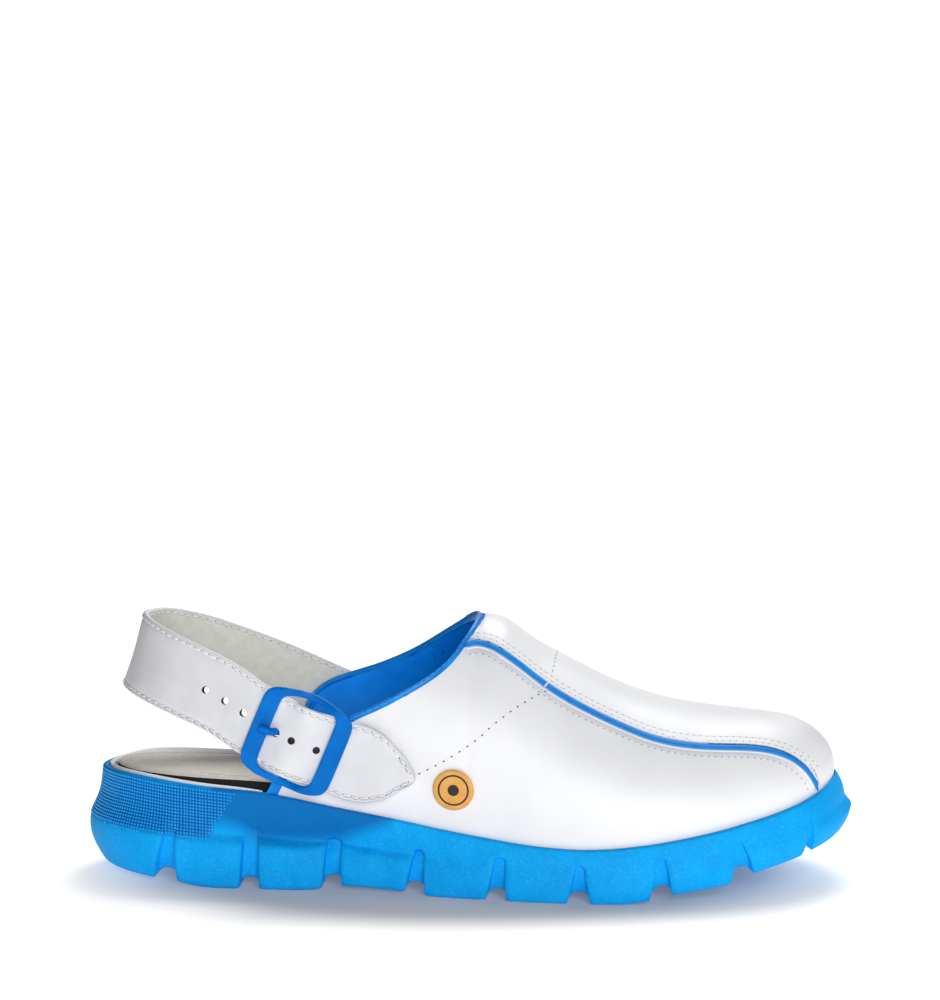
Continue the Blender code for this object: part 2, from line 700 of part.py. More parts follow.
def make_binding(skin):
    spots = [(LATERAL, a) for a in REAR_LATERAL] + [(LATERAL, COLLAR_X)]
    spots += [(MEDIAL, a) for a in reversed(REAR_MEDIAL)]
    middles, normals, halves = [], [], []
    for side, a in spots:
        v = top_of(side, a)
        n = normal(side, a, v)
        lift = raise_of(side, a, v, SEAM_ENDS[side][0])
        middles.append(surface(side, a, v) + n * (lift - WALL) / 2)
        normals.append(n)
        halves.append((lift + WALL) / 2 + BINDING_PROUD)
    last = len(spots) - 1
    rings = []
    for k, (middle, n, half) in enumerate(zip(middles, normals, halves)):
        along = unit(middles[min(k + 1, last)] - middles[max(k - 1, 0)])
        away = unit(np.cross(n, along))
        centre = middle + away * (GAP + BINDING_HALF)
        ring = [centre + away * BINDING_HALF * math.cos(t) + n * half * math.sin(t)
                for t in (math.pi * (i + 0.5) / 4 for i in range(8))]
        side, a = spots[k]
        rings.append(level_end(ring, along, rim[side](a) + BINDING_CLEAR) if k in (0, last) else ring)
    return sweep("collar_binding", rings, skin)


# Strap
def open_curve(rows, per_span):
    pts = np.array(rows, float)
    chord = np.linalg.norm(np.diff(pts[:, :3], axis=0), axis=1)
    run = np.concatenate([[0.0], np.cumsum(chord)])
    columns = [smooth(list(zip(run, pts[:, i]))) for i in range(pts.shape[1])]
    stops = [run[i] + chord[i] * k / per_span for i in range(len(chord)) for k in range(per_span)]
    return [[f(s) for f in columns] for s in stops + [run[-1]]]


def direction(spots, k):
    return unit(np.array(spots[min(k + 1, len(spots) - 1)]) - np.array(spots[max(k - 1, 0)]))


def strap_frames(rows):
    flat = [row[:3] for row in rows]
    spots = []
    for x, y, z in flat:
        off = (x - BUCKLE_AT[0]) / STRAP_BUMP_HALF
        over_bar = y < 0 and abs(off) < 1.0
        rise = STRAP_BUMP * math.cos(off * math.pi / 2) ** 2 if over_bar else 0.0
        spots.append(np.array((x, y - rise, z)))
    frames = []
    for k, row in enumerate(rows):
        along = direction(flat, k)
        inward = unit(np.cross((0, 0, 1), along))
        lean = math.radians(row[3])
        up = math.cos(lean) * np.array((0, 0, 1.0)) + math.sin(lean) * inward
        across = unit(up - along * np.dot(up, along))
        frames.append((spots[k], across, unit(np.cross(direction(spots, k), across))))
    return frames


def make_cutter(name, at, axis, radius):
    x, y, z = at
    bpy.ops.mesh.primitive_cylinder_add(vertices=10, radius=radius * MM, depth=2 * STRAP_THICK * MM,
                                        location=((x + SHIFT_X) * MM, y * MM, z * MM))
    cutter = bpy.context.object
    cutter.name = name
    cutter.rotation_mode = "QUATERNION"
    cutter.rotation_quaternion = Vector(axis).to_track_quat("Z", "Y")
    return helper(cutter)


def helper(obj):
    obj.hide_render = True
    obj.display_type = "WIRE"
    return obj


def boolean(target, tool, kind):
    change = target.modifiers.new(tool.name, "BOOLEAN")
    change.operation = kind
    change.object = tool
    change.solver = "EXACT"


def make_strap(skin):
    rows = open_curve(STRAP, 3)
    frames = strap_frames(rows)
    half = STRAP_THICK / 2
    rings = []
    for row, (spot, across, out) in zip(rows, frames):
        top, foot = spot + across * row[4], spot - across * row[5]
        rings.append([top + out * half, foot + out * half, foot - out * half, top - out * half])
    strap = sweep("heel_strap", rings, skin)
    lateral = [f for f in frames if f[0][1] < 0.0 and f[0][0] > HOLE_SPOTS[0] - 10.0]
    spots = [(x, HOLE) for x in HOLE_SPOTS] + [(PRONG_HOLE_SPOT, PRONG_HOLE)]
    for i, (x, size) in enumerate(spots):
        k = next(k for k in range(len(lateral) - 1) if lateral[k + 1][0][0] > x)
        share = (x - lateral[k][0][0]) / (lateral[k + 1][0][0] - lateral[k][0][0])
        at = lateral[k][0] * (1 - share) + lateral[k + 1][0] * share
        axis = unit(lateral[k][2] * (1 - share) + lateral[k + 1][2] * share)
        boolean(strap, make_cutter(f"strap_hole_{i}", at, axis, size / 2), "DIFFERENCE")
    return strap


# Buckle
ALONG = unit(BUCKLE_ALONG)
ACROSS = unit(np.array((0.0, 0.0, 1.0)) - ALONG * ALONG[2])
OUT = np.cross(ALONG, ACROSS)


def in_buckle(along, across, out):
    return np.array(BUCKLE_AT) + ALONG * along + ACROSS * across + OUT * out


def make_buckle(skin):
    quarter = BUCKLE_QUARTER
    loop = [(1, 1, row) for row in quarter[:-1]] + [(-1, 1, row) for row in reversed(quarter[1:])]
    loop += [(-1, -1, row) for row in quarter[:-1]] + [(1, -1, row) for row in reversed(quarter[1:])]
    half = BUCKLE_THICK / 2
    rings = []
    for sx, sy, (oa, oc, ia, ic) in loop:
        ring = []
        for along, across, face in ((oa, oc, half), (ia, ic, half), (ia, ic, -half), (oa, oc, -half)):
            drop = BAR_DROP * max(0.0, 1 - (along / DROP_REACH) ** 2)
            ring.append(in_buckle(sx * along, sy * across, face - drop))
        rings.append(ring)
    frame = sweep("buckle_frame", rings, skin, closed=True)
    bar_rings = []
    for end in (-1, 1):
        bar_rings.append([in_buckle(BAR_RADIUS * math.cos(t), end * BAR_HALF,
                                    BAR_RADIUS * math.sin(t) - BAR_DROP)
                          for t in (math.pi * i / 5 for i in range(10))])
    boolean(frame, helper(sweep("buckle_bar", bar_rings, skin)), "UNION")
    return frame


def make_prong(skin):
    inner, outer, half = PRONG_EYE
    turns = 12
    ring = []
    for k in range(turns):
        t = 2 * math.pi * k / turns
        ring.append([in_buckle(r * math.cos(t), c, r * math.sin(t) - BAR_DROP)
                     for r, c in ((inner, -half), (outer, -half), (outer, half), (inner, half))])
    eye = helper(sweep("prong_eye", ring, skin, closed=True))
    rows = open_curve([(a, 0.0, o) for a, o in PRONG_PATH], 3)
    rings = []
    for k, (a, _, o) in enumerate(rows):
        ahead, back = rows[min(k + 1, len(rows) - 1)], rows[max(k - 1, 0)]
        da, do = unit((ahead[0] - back[0], ahead[2] - back[2]))
        rings.append([in_buckle(a - do * PRONG_RADIUS * math.cos(t), PRONG_RADIUS * math.sin(t),
                                o + da * PRONG_RADIUS * math.cos(t))
                      for t in (math.pi * i / 4 for i in range(8))])
    prong = sweep("buckle_prong", rings, skin)
    boolean(prong, eye, "UNION")
    return prong


# Badge, curved with the quarter
def make_badge(skin):
    rings = []
    for radius, lift in ((0.0, GAP), (BADGE_RADIUS * 0.5, GAP), (BADGE_RADIUS, GAP),
                         (BADGE_RADIUS, GAP + BADGE_THICK * 0.6), (BADGE_RADIUS - 0.5, GAP + BADGE_THICK),
                         (BADGE_RADIUS * 0.5, GAP + BADGE_THICK), (0.0, GAP + BADGE_THICK)):
        ring = []
        for k in range(20):
            t = 2 * math.pi * k / 20
            x, z = BADGE_AT[0] + radius * math.cos(t), BADGE_AT[1] + radius * math.sin(t)
            v = solve(LATERAL, x, lambda _: z)
            ring.append(surface(LATERAL, x, v) + normal(LATERAL, x, v) * lift)
        rings.append(ring)
    return sweep("badge", rings, skin)


BLUE = (0.012, 0.235, 0.72)
WHITE = (0.86, 0.87, 0.88)
make_sole(material("blue_pu_foam", BLUE, 0.7))
make_insole(material("taupe_suede", (0.40, 0.37, 0.32), 0.9))
make_heel_band(material("white_edge_band", WHITE, 0.6))
make_upper(material("white_leather", WHITE, 0.45))
make_piping("piping_lateral", LATERAL, material("blue_piping_lateral", BLUE, 0.4))
make_piping("piping_medial", MEDIAL, material("blue_piping_medial", BLUE, 0.4))
make_binding(material("blue_binding", BLUE, 0.4))
make_strap(material("white_strap_leather", WHITE, 0.45))
make_buckle(material("blue_lacquer_frame", BLUE, 0.25))
make_prong(material("blue_lacquer_prong", BLUE, 0.25))
make_badge(material("amber_badge", (0.80, 0.42, 0.03), 0.4))
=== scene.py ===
import math
import random

import bmesh
import bpy
from mathutils import Matrix, Vector
from mathutils.bvhtree import BVHTree


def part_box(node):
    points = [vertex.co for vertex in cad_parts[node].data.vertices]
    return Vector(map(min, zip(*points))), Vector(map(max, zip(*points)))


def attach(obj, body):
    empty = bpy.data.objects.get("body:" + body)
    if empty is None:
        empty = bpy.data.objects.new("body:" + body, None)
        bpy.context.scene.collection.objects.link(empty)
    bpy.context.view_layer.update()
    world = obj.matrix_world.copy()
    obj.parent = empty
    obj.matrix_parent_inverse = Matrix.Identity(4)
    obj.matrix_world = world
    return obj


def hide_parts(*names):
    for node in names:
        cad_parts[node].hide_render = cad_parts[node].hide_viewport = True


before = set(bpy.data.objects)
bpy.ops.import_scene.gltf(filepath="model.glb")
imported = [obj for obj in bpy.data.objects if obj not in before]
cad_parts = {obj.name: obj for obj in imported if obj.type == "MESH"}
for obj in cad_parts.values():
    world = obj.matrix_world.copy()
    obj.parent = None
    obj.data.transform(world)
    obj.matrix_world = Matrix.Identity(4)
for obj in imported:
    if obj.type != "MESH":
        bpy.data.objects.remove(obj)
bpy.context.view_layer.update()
mm = 0.001
weld = 0.004 * mm                      # CAD corners nearer than this are one point
quads = {"face_threshold": math.radians(60), "shape_threshold": math.radians(70)}
random.seed(7)


# Blender handling

def only(piece):
    bpy.ops.object.select_all(action="DESELECT")
    piece.select_set(True)
    bpy.context.view_layer.objects.active = piece


def openEdit(piece, kind="FACE"):
    only(piece)
    bpy.ops.object.mode_set(mode="EDIT")
    bpy.ops.mesh.select_mode(type=kind)
    bpy.ops.mesh.select_all(action="DESELECT")


def closeEdit():
    bpy.ops.object.mode_set(mode="OBJECT")


def pickFaces(piece, wanted):
    openEdit(piece)
    closeEdit()
    for face in piece.data.polygons:
        face.select = wanted(face)
    bpy.ops.object.mode_set(mode="EDIT")


def modify(piece, kind, **settings):
    only(piece)
    step = piece.modifiers.new(kind.title(), kind)
    for key, value in settings.items():
        setattr(step, key, value)
    bpy.ops.object.modifier_apply(modifier=step.name)


def subdivide(piece, levels):
    modify(piece, "SUBSURF", levels=levels, render_levels=levels)


def copyNode(node, name):
    piece = bpy.data.objects.new(name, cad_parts[node].data.copy())
    bpy.context.scene.collection.objects.link(piece)
    piece.data.materials.clear()
    openEdit(piece)
    bpy.ops.mesh.select_all(action="SELECT")
    bpy.ops.mesh.customdata_custom_splitnormals_clear()
    bpy.ops.mesh.remove_doubles(threshold=weld)
    bpy.ops.mesh.tris_convert_to_quads(**quads)
    closeEdit()
    return piece


def creaseSharp(piece, angle, amount):
    openEdit(piece, "EDGE")
    bpy.ops.mesh.edges_select_sharp(sharpness=math.radians(angle))
    bpy.ops.transform.edge_crease(value=amount)
    closeEdit()


def softCopy(node, name, look):
    # the CAD form with its sharp edges eased
    piece = copyNode(node, name)
    creaseSharp(piece, look["sharp"], look["crease"])
    subdivide(piece, look["levels"])
    return piece


def smoothShade(piece, angle=None):
    only(piece)
    if angle is None:
        bpy.ops.object.shade_smooth()
    else:
        bpy.ops.object.shade_smooth_by_angle(angle=math.radians(angle))


def dress(piece, slot, *finishes, node=None):
    for finish in finishes:
        piece.data.materials.append(finish)
    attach(piece, "root")
    if node:
        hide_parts(node)
    print("made", piece.name, len(piece.data.polygons), "faces")
    return piece


def newMesh(name, verts, faces):
    mesh = bpy.data.meshes.new(name)
    mesh.from_pydata(verts, [], faces)
    piece = bpy.data.objects.new(name, mesh)
    bpy.context.scene.collection.objects.link(piece)
    return piece


def surfaceOf(piece, wanted=lambda face: True):
    shown = [face.vertices for face in piece.data.polygons if wanted(face)]
    return BVHTree.FromPolygons([v.co for v in piece.data.vertices], shown)


# Paths and sections read from the swept CAD solids

def mergedNode(node):
    work = bmesh.new()
    work.from_mesh(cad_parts[node].data)
    bmesh.ops.remove_doubles(work, verts=work.verts, dist=weld)
    return work


def middleLine(node, start, size):
    # the mean of each ring of a swept solid, walked from the end nearest to start
    work = mergedNode(node)
    ring = sorted(work.verts, key=lambda v: (v.co - Vector(start)).length)[:size]
    seen, line = set(), []
    while ring:
        line.append(mean([v.co for v in ring]))
        seen.update(ring)
        ring = list({e.other_vert(v) for v in ring for e in v.link_edges} - seen)
    work.free()
    return line


def hardLoops(node, sharpAngle):
    # closed loops of sharp edges, longest first
    work = mergedNode(node)
    limit = math.radians(sharpAngle)
    hard = {v: [e.other_vert(v) for e in v.link_edges if e.calc_face_angle(0) > limit] for v in work.verts}
    loops, used = [], set()
    for first in work.verts:
        if first in used:
            continue
        loop, ahead = [], [first]
        while ahead:
            loop.append(ahead[0])
            used.add(ahead[0])
            ahead = [v for v in hard[loop[-1]] if v not in used]
        loops.append([v.co.copy() for v in loop])
    work.free()
    return sorted(loops, key=len, reverse=True)


def mean(points):
    return sum(points, Vector()) / len(points)


def lengths(points):
    run = [0.0]
    for a, b in zip(points, points[1:]):
        run.append(run[-1] + (b - a).length)
    return run


def resample(points, pitch, count=None):
    run = lengths(points)
    count = count or max(1, int(run[-1] / pitch))
    out, k = [], 0
    for i in range(count + 1):
        s = run[-1] * i / count
        while k < len(run) - 2 and run[k + 1] < s:
            k += 1
        t = (s - run[k]) / max(run[k + 1] - run[k], 1e-9)
        out.append(points[k].lerp(points[k + 1], t))
    return out


def rounded(points, times=2):
    for _ in range(times):
        cut = [points[0]]
        for a, b in zip(points, points[1:]):
            cut += [a.lerp(b, 0.25), a.lerp(b, 0.75)]
        points = cut + [points[-1]]
    return points


def smoothPath(points, step):
    # a rounded line through a few points given in mm
    return resample(rounded([Vector(p) * mm for p in points]), step)


def loft(name, rings):
    size = len(rings[0])
    faces = []
    for k in range(len(rings) - 1):
        for i in range(size):
            j = (i + 1) % size
            faces.append((k * size + i, k * size + j, (k + 1) * size + j, (k + 1) * size + i))
    faces.append(tuple(range(size)))
    faces.append(tuple(range((len(rings) - 1) * size, len(rings) * size)))
    piece = newMesh(name, [p for ring in rings for p in ring], faces)
    openEdit(piece)
    bpy.ops.mesh.select_all(action="SELECT")
    bpy.ops.mesh.normals_make_consistent(inside=False)
    closeEdit()
    return piece


# Small repeated things

def stampOf(piece):
    shape = ([v.co.copy() for v in piece.data.vertices], [tuple(p.vertices) for p in piece.data.polygons])
    bpy.data.objects.remove(piece)
    return shape


def threadStamp():
    bpy.ops.mesh.primitive_uv_sphere_add(segments=8, ring_count=6, radius=0.5)
    ball = bpy.context.object
    openEdit(ball)
    bpy.ops.mesh.select_all(action="SELECT")
    bpy.ops.transform.rotate(value=math.pi / 2, orient_axis="Y", center_override=(0, 0, 0))
    closeEdit()
    return stampOf(ball)


def holeStamp():
    bpy.ops.mesh.primitive_uv_sphere_add(segments=8, ring_count=4, radius=0.5)
    ball = bpy.context.object
    openEdit(ball)
    bpy.ops.mesh.select_all(action="SELECT")
    bpy.ops.transform.resize(value=(1, 1, 0.35))
    closeEdit()
    return stampOf(ball)


def bumpStamp():
    bpy.ops.mesh.primitive_cube_add(size=1)
    block = bpy.context.object
    openEdit(block)
    closeEdit()
    top = [f for f in block.data.polygons if f.normal.z > 0.9][0]
    top.select = True
    bpy.ops.object.mode_set(mode="EDIT")
    bpy.ops.transform.resize(value=(0.5, 0.5, 1))
    closeEdit()
    return stampOf(block)


def scatter(name, stamp, places):
    points, shape = stamp
    verts, faces = [], []
    for place in places:
        start = len(verts)
        verts += [place @ p for p in points]
        faces += [tuple(i + start for i in face) for face in shape]
    return newMesh(name, verts, faces)


def standing(at, along, out, size):
    out = out.normalized()
    along = (along - out * along.dot(out)).normalized()
    across = out.cross(along)
    turn = Matrix((along, across, out)).transposed().to_4x4()
    return Matrix.Translation(at) @ turn @ Matrix.Diagonal((*size, 1.0))


# Colour and material helpers

def linear(hexColour):
    out = []
    for i in (0, 2, 4):
        c = int(hexColour[i:i + 2], 16) / 255
        out.append(c / 12.92 if c <= 0.04045 else ((c + 0.055) / 1.055) ** 2.4)
    return (*out, 1.0)


def addNode(tree, kind, values=None, links=None, **settings):
    node = tree.nodes.new("ShaderNode" + kind)
    for key, value in settings.items():
        setattr(node, key, value)
    for key, value in (values or {}).items():
        node.inputs[key].default_value = value
    for key, source in (links or {}).items():
        tree.links.new(source, node.inputs[key])
    return node


def finishOf(name, look):
    # two shades in soft patches, a roughness that drifts, and a fine grain in bump
    made = bpy.data.materials.new(name)
    made.use_nodes = True
    tree = made.node_tree
    shader = tree.nodes["Principled BSDF"]
    for key, value in look.get("sockets", {}).items():
        shader.inputs[key].default_value = value
    coords = addNode(tree, "TexCoord").outputs["Object"]
    patch = addNode(tree, "TexNoise", {"Scale": 1 / (look["patch"] * mm), "Detail": 3.0},
                    {"Vector": coords})
    shade = addNode(tree, "MapRange", {"From Min": 0.35, "From Max": 0.65}, {"Value": patch.outputs["Fac"]})
    mix = addNode(tree, "Mix", {6: linear(look["deep"]), 7: linear(look["pale"])},
                  {0: shade.outputs["Result"]}, data_type="RGBA")
    colour = mix.outputs[2]
    low, high = look["rough"]
    drift = addNode(tree, "MapRange", {"From Min": 0.3, "From Max": 0.7, "To Min": low, "To Max": high},
                    {"Value": patch.outputs["Fac"]})
    tree.links.new(drift.outputs["Result"], shader.inputs["Roughness"])
    scale = 1 / (look["grain"] * mm)
    if look.get("cells"):
        grain = addNode(tree, "TexVoronoi", {"Scale": scale}, {"Vector": coords}, feature="SMOOTH_F1")
        height = grain.outputs["Distance"]
    else:
        grain = addNode(tree, "TexNoise", {"Scale": scale, "Detail": 4.0}, {"Vector": coords})
        height = grain.outputs["Fac"]
    if "fleck" in look:
        spot = addNode(tree, "MapRange", {"From Min": 0.52, "From Max": 0.72, "To Max": look["fleckShare"]},
                       {"Value": height})
        mix = addNode(tree, "Mix", {7: linear(look["fleck"])}, {0: spot.outputs["Result"], 6: colour},
                      data_type="RGBA")
        colour = mix.outputs[2]
    # painted shade: a darker colour mixed in where the named attribute says
    if "ground" in look:
        where = addNode(tree, "Attribute", attribute_name=look["ground"][0])
        mix = addNode(tree, "Mix", {7: linear(look["ground"][1])}, {0: where.outputs["Fac"], 6: colour},
                      data_type="RGBA")
        colour = mix.outputs[2]
    tree.links.new(colour, shader.inputs["Base Color"])
    bump = addNode(tree, "Bump", {"Strength": look.get("bump", 0.5), "Distance": look["depth"] * mm},
                   {"Height": height})
    tree.links.new(bump.outputs["Normal"], shader.inputs["Normal"])
    return made


# Polyurethane foam, moulded: matte skin with a fine open fleck, and a darker painted shade where the sole's
# smooth attribute lies
bluePuFoam = finishOf("blue polyurethane foam", {
    "deep": "04A4F4", "pale": "0AAEFD", "patch": 9.0, "rough": (0.52, 0.66),
    "grain": 0.9, "depth": 0.10, "bump": 0.5, "fleck": "45BEFF", "fleckShare": 0.4,
    "ground": ("smooth", "0669B6"), "sockets": {"Specular IOR Level": 0.08},
})
# The same foam on the grip dots, with a lower roughness, painted lighter: a painted highlight where their
# tops catch the light
paintedHighlightFoam = finishOf("polyurethane foam with painted highlight", {
    "deep": "28B0FC", "pale": "3ABAFF", "patch": 6.0, "rough": (0.40, 0.50),
    "grain": 0.5, "depth": 0.02, "bump": 0.3, "sockets": {"Specular IOR Level": 0.2},
})
# Smooth corrected-grain leather, finished white: faint pores, soft gloss
whiteLeather = finishOf("white smooth leather", {
    "deep": "F1F2F6", "pale": "F4F5F8", "patch": 14.0, "rough": (0.40, 0.52),
    "grain": 0.55, "cells": True, "depth": 0.035, "bump": 0.35,
    "sockets": {"Coat Weight": 0.08, "Coat Roughness": 0.35},
})
# The strap's own leather, a little greyer and duller
strapLeather = finishOf("strap leather", {
    "deep": "DDDEE3", "pale": "E4E5E9", "patch": 10.0, "rough": (0.42, 0.54),
    "grain": 0.5, "cells": True, "depth": 0.035, "bump": 0.35,
    "sockets": {"Coat Weight": 0.06, "Coat Roughness": 0.35},
})
# Dyed lining leather: satin, slightly creased
blueLiningLeather = finishOf("blue lining leather", {
    "deep": "0287F2", "pale": "0494FF", "patch": 7.0, "rough": (0.45, 0.55),
    "grain": 0.6, "cells": True, "depth": 0.05, "bump": 0.4, "sockets": {"Specular IOR Level": 0.12},
})
# Folded leather strip, dyed blue: satin
blueTrimLeather = finishOf("blue trim leather", {
    "deep": "0782DC", "pale": "0C8DE8", "patch": 4.0, "rough": (0.34, 0.46),
    "grain": 0.5, "cells": True, "depth": 0.04, "bump": 0.4, "sockets": {"Specular IOR Level": 0.2},
})
# Split suede: short nap, no gloss
taupeSuede = finishOf("taupe suede", {
    "deep": "CDC6BA", "pale": "DCD6CB", "patch": 2.2, "rough": (0.90, 0.98),
    "grain": 0.45, "depth": 0.12, "bump": 0.6, "fleck": "E6E1D8", "fleckShare": 0.5,
    "sockets": {"Sheen Weight": 0.25, "Sheen Roughness": 0.5},
})
# Strap lining: pale pigskin split, dull
strapLining = finishOf("pale strap lining", {
    "deep": "DAD9CD", "pale": "E4E3D9", "patch": 3.0, "rough": (0.80, 0.92),
    "grain": 0.5, "depth": 0.08, "bump": 0.5,
    "sockets": {"Sheen Weight": 0.15},
})
# Cut edge of black latex foam: fine open cells
blackLatexFoam = finishOf("black latex foam", {
    "deep": "070708", "pale": "111113", "patch": 1.5, "rough": (0.75, 0.9),
    "grain": 0.5, "cells": True, "depth": 0.1, "bump": 0.6,
})
# Woven edge tape, white
whiteTape = finishOf("white woven tape", {
    "deep": "F4F5F6", "pale": "FCFCFC", "patch": 1.2, "rough": (0.70, 0.85),
    "grain": 0.5, "depth": 0.08, "bump": 0.5,
})
# Lacquered steel: thick glossy coat over blue
blueLacquer = finishOf("blue lacquered steel", {
    "deep": "0068C0", "pale": "0174D0", "patch": 8.0, "rough": (0.26, 0.34),
    "grain": 1.6, "depth": 0.02, "bump": 0.3,
    "sockets": {"Specular IOR Level": 0.01, "Coat Weight": 0.14, "Coat Roughness": 0.05},
})
# Enamelled plastic disc, amber
amberEnamel = finishOf("amber enamel", {
    "deep": "E2A24A", "pale": "EBAE58", "patch": 3.0, "rough": (0.34, 0.44),
    "grain": 0.6, "depth": 0.03, "bump": 0.4,
})
blackInk = finishOf("black print", {
    "deep": "1A1512", "pale": "231C17", "patch": 2.0, "rough": (0.45, 0.55),
    "grain": 0.5, "depth": 0.01, "bump": 0.2,
})
# Twisted polyester thread, white and blue
whiteThread = finishOf("white polyester thread", {
    "deep": "E6E7EB", "pale": "F2F2F4", "patch": 1.0, "rough": (0.55, 0.7),
    "grain": 0.3, "depth": 0.05, "bump": 0.5,
})
blueThread = finishOf("blue polyester thread", {
    "deep": "1E92F2", "pale": "3BA5FA", "patch": 1.0, "rough": (0.40, 0.55),
    "grain": 0.3, "depth": 0.05, "bump": 0.5,
})
# Cut leather edge: dull fibre, a little grey
rawLeatherEdge = finishOf("raw leather edge", {
    "deep": "B9BABF", "pale": "E2E3E7", "patch": 1.1, "rough": (0.75, 0.9),
    "grain": 0.4, "depth": 0.08, "bump": 0.6,
})
# Painted shade: the dark inside of a hole, drawn as a dark mark on the skin, and the softer shade where a
# thread dips into leather
needleShade = finishOf("needle hole", {
    "deep": "4A4A55", "pale": "5A5A64", "patch": 0.6, "rough": (0.9, 1.0),
    "grain": 0.4, "depth": 0.01, "bump": 0.1,
})
stitchShade = finishOf("shaded stitch pit", {
    "deep": "9C9AA4", "pale": "B2B0B9", "patch": 0.6, "rough": (0.9, 1.0),
    "grain": 0.4, "depth": 0.01, "bump": 0.1,
})
# Painted shade: the dark in a punched hole's wall and behind the last holes
paintedHoleShade = finishOf("punched hole, painted shade", {
    "deep": "2A282C", "pale": "3C3A3F", "patch": 0.8, "rough": (0.85, 0.95),
    "grain": 0.3, "depth": 0.04, "bump": 0.4,
})
seamShadow = finishOf("seam shadow", {
    "deep": "14305C", "pale": "23477C", "patch": 1.5, "rough": (0.9, 1.0),
    "grain": 0.4, "depth": 0.01, "bump": 0.1,
})
print("materials ready")


# Sole: soft moulded edges over the CAD form

soleLook = {"sharp": 30, "crease": 0.72, "levels": 2}
sole = softCopy("sole", "soleFoam", soleLook)
smoothShade(sole)
dress(sole, "sole_foam", bluePuFoam, node="sole")

# Fine raised grip dots round the heel, in columns that run down the wall
heelDots = {
    "pitch": 1.14 * mm, "base": 0.80 * mm, "high": 0.55 * mm,
    "centre": (-103.4 * mm, 0.5 * mm), "straightTo": -76.0 * mm,
    "rimAtBack": 38.6 * mm, "rimBack": -121.4 * mm, "rimFall": 0.088,
    "footAtFront": 18.0 * mm, "footRise": 0.055,
    "frontAtFoot": -91.5 * mm, "frontLean": 0.62,
    "far": 60 * mm, "margin": 0.9 * mm, "fade": 2.6 * mm,
    # spacing of the trial rays, and how far under the back's rim the columns are spaced and started
    "fine": 0.2 * mm, "turns": 900, "step": 0.12 * mm, "spacedAt": 6 * mm, "startAt": 4 * mm,
}


def heelRays(dots):
    # start points well outside the heel and level directions in towards it
    cx, cy = dots["centre"]
    fine, turns = dots["fine"], dots["turns"]
    steps = int((dots["straightTo"] - cx) / fine)
    rays = []
    for i in range(steps):
        rays.append((Vector((dots["straightTo"] - i * fine, -dots["far"], 0)), Vector((0, 1, 0))))
    for i in range(turns + 1):
        angle = math.pi * i / turns
        way = Vector((math.sin(angle), math.cos(angle), 0))
        rays.append((Vector((cx, cy, 0)) - way * dots["far"], way))
    for i in range(steps):
        rays.append((Vector((cx + (i + 1) * fine, dots["far"], 0)), Vector((0, -1, 0))))
    return rays


def rimAt(dots, x):
    return dots["rimAtBack"] - max(0.0, x - dots["rimBack"]) * dots["rimFall"] - dots["margin"]


def gripDepth(dots, spot):
    # how far a spot on the wall lies inside the dotted area
    low = dots["footAtFront"] + max(0.0, dots["frontAtFoot"] - spot.x) * dots["footRise"]
    front = dots["frontAtFoot"] + (spot.z - dots["footAtFront"]) * dots["frontLean"]
    return min(spot.z - low, front - spot.x, rimAt(dots, spot.x) + dots["pitch"] - spot.z)


def dotPlaces(dots, skin):
    def hit(ray, z):
        start, way = ray
        return skin.ray_cast(start + Vector((0, 0, z)), way)[:2]

    columns, last, run = [], None, 0.0
    for ray in heelRays(dots):
        spot = hit(ray, dots["rimAtBack"] - dots["spacedAt"])[0]
        run += (spot - last).length if last else dots["pitch"]
        last = spot
        if run >= dots["pitch"]:
            run -= dots["pitch"]
            columns.append(ray)
    places = []
    for ray in columns:
        spot = hit(ray, dots["rimAtBack"] - dots["startAt"])[0]
        z = rimAt(dots, spot.x)
        last, run = None, dots["pitch"]
        while z > dots["footAtFront"]:
            spot, out = hit(ray, z)
            z -= dots["step"]
            if spot is None:
                continue
            run += (spot - last).length if last else 0.0
            last = spot
            if run >= dots["pitch"] and gripDepth(dots, spot) > 0:
                run -= dots["pitch"]
                along = Vector((0, 0, 1)).cross(out)
                places.append(standing(spot, along, out, (dots["base"], dots["base"], dots["high"])))
    return places


grip = scatter("heelGrip", bumpStamp(), dotPlaces(heelDots, surfaceOf(sole)))
dress(grip, "sole_foam", paintedHighlightFoam)

# Under the dots and on to the waist the foam has a smooth skin, darker than the flecked lugs: painted
# shade, for the valleys between the grip dots and for the waist's recess under the upper
waist = {
    # x and height of the lower edge of the smooth skin and its painted shade, in mm
    "foot": [(-96, 60.0), (-88, 21.0), (-79, 18.5), (-72, 14.0),
             (-50, 14.5), (-41, 16.5), (-25, 23.0), (-19, 34.0)],
    "fade": 7.0 * mm, "share": 0.88, "dotsEdge": 0.4,
}


def waistDepth(spot):
    # how far a spot on the wall lies above the foot of the smooth skin and its painted shade
    for (x0, z0), (x1, z1) in zip(waist["foot"], waist["foot"][1:]):
        if x0 * mm <= spot.x < x1 * mm:
            return spot.z - (z0 + (z1 - z0) * (spot.x / mm - x0) / (x1 - x0)) * mm
    return 0.0


# the share of painted shade at each point of the sole, kept in its smooth attribute
smooth = sole.data.attributes.new("smooth", "FLOAT", "POINT")
for v in sole.data.vertices:
    underDots = gripDepth(heelDots, v.co) / heelDots["fade"] + waist["dotsEdge"]
    onWaist = min(waist["share"], waistDepth(v.co) / waist["fade"])
    smooth.data[v.index].value = min(1.0, max(0.0, underDots, onWaist))


# Insole: suede top over black foam

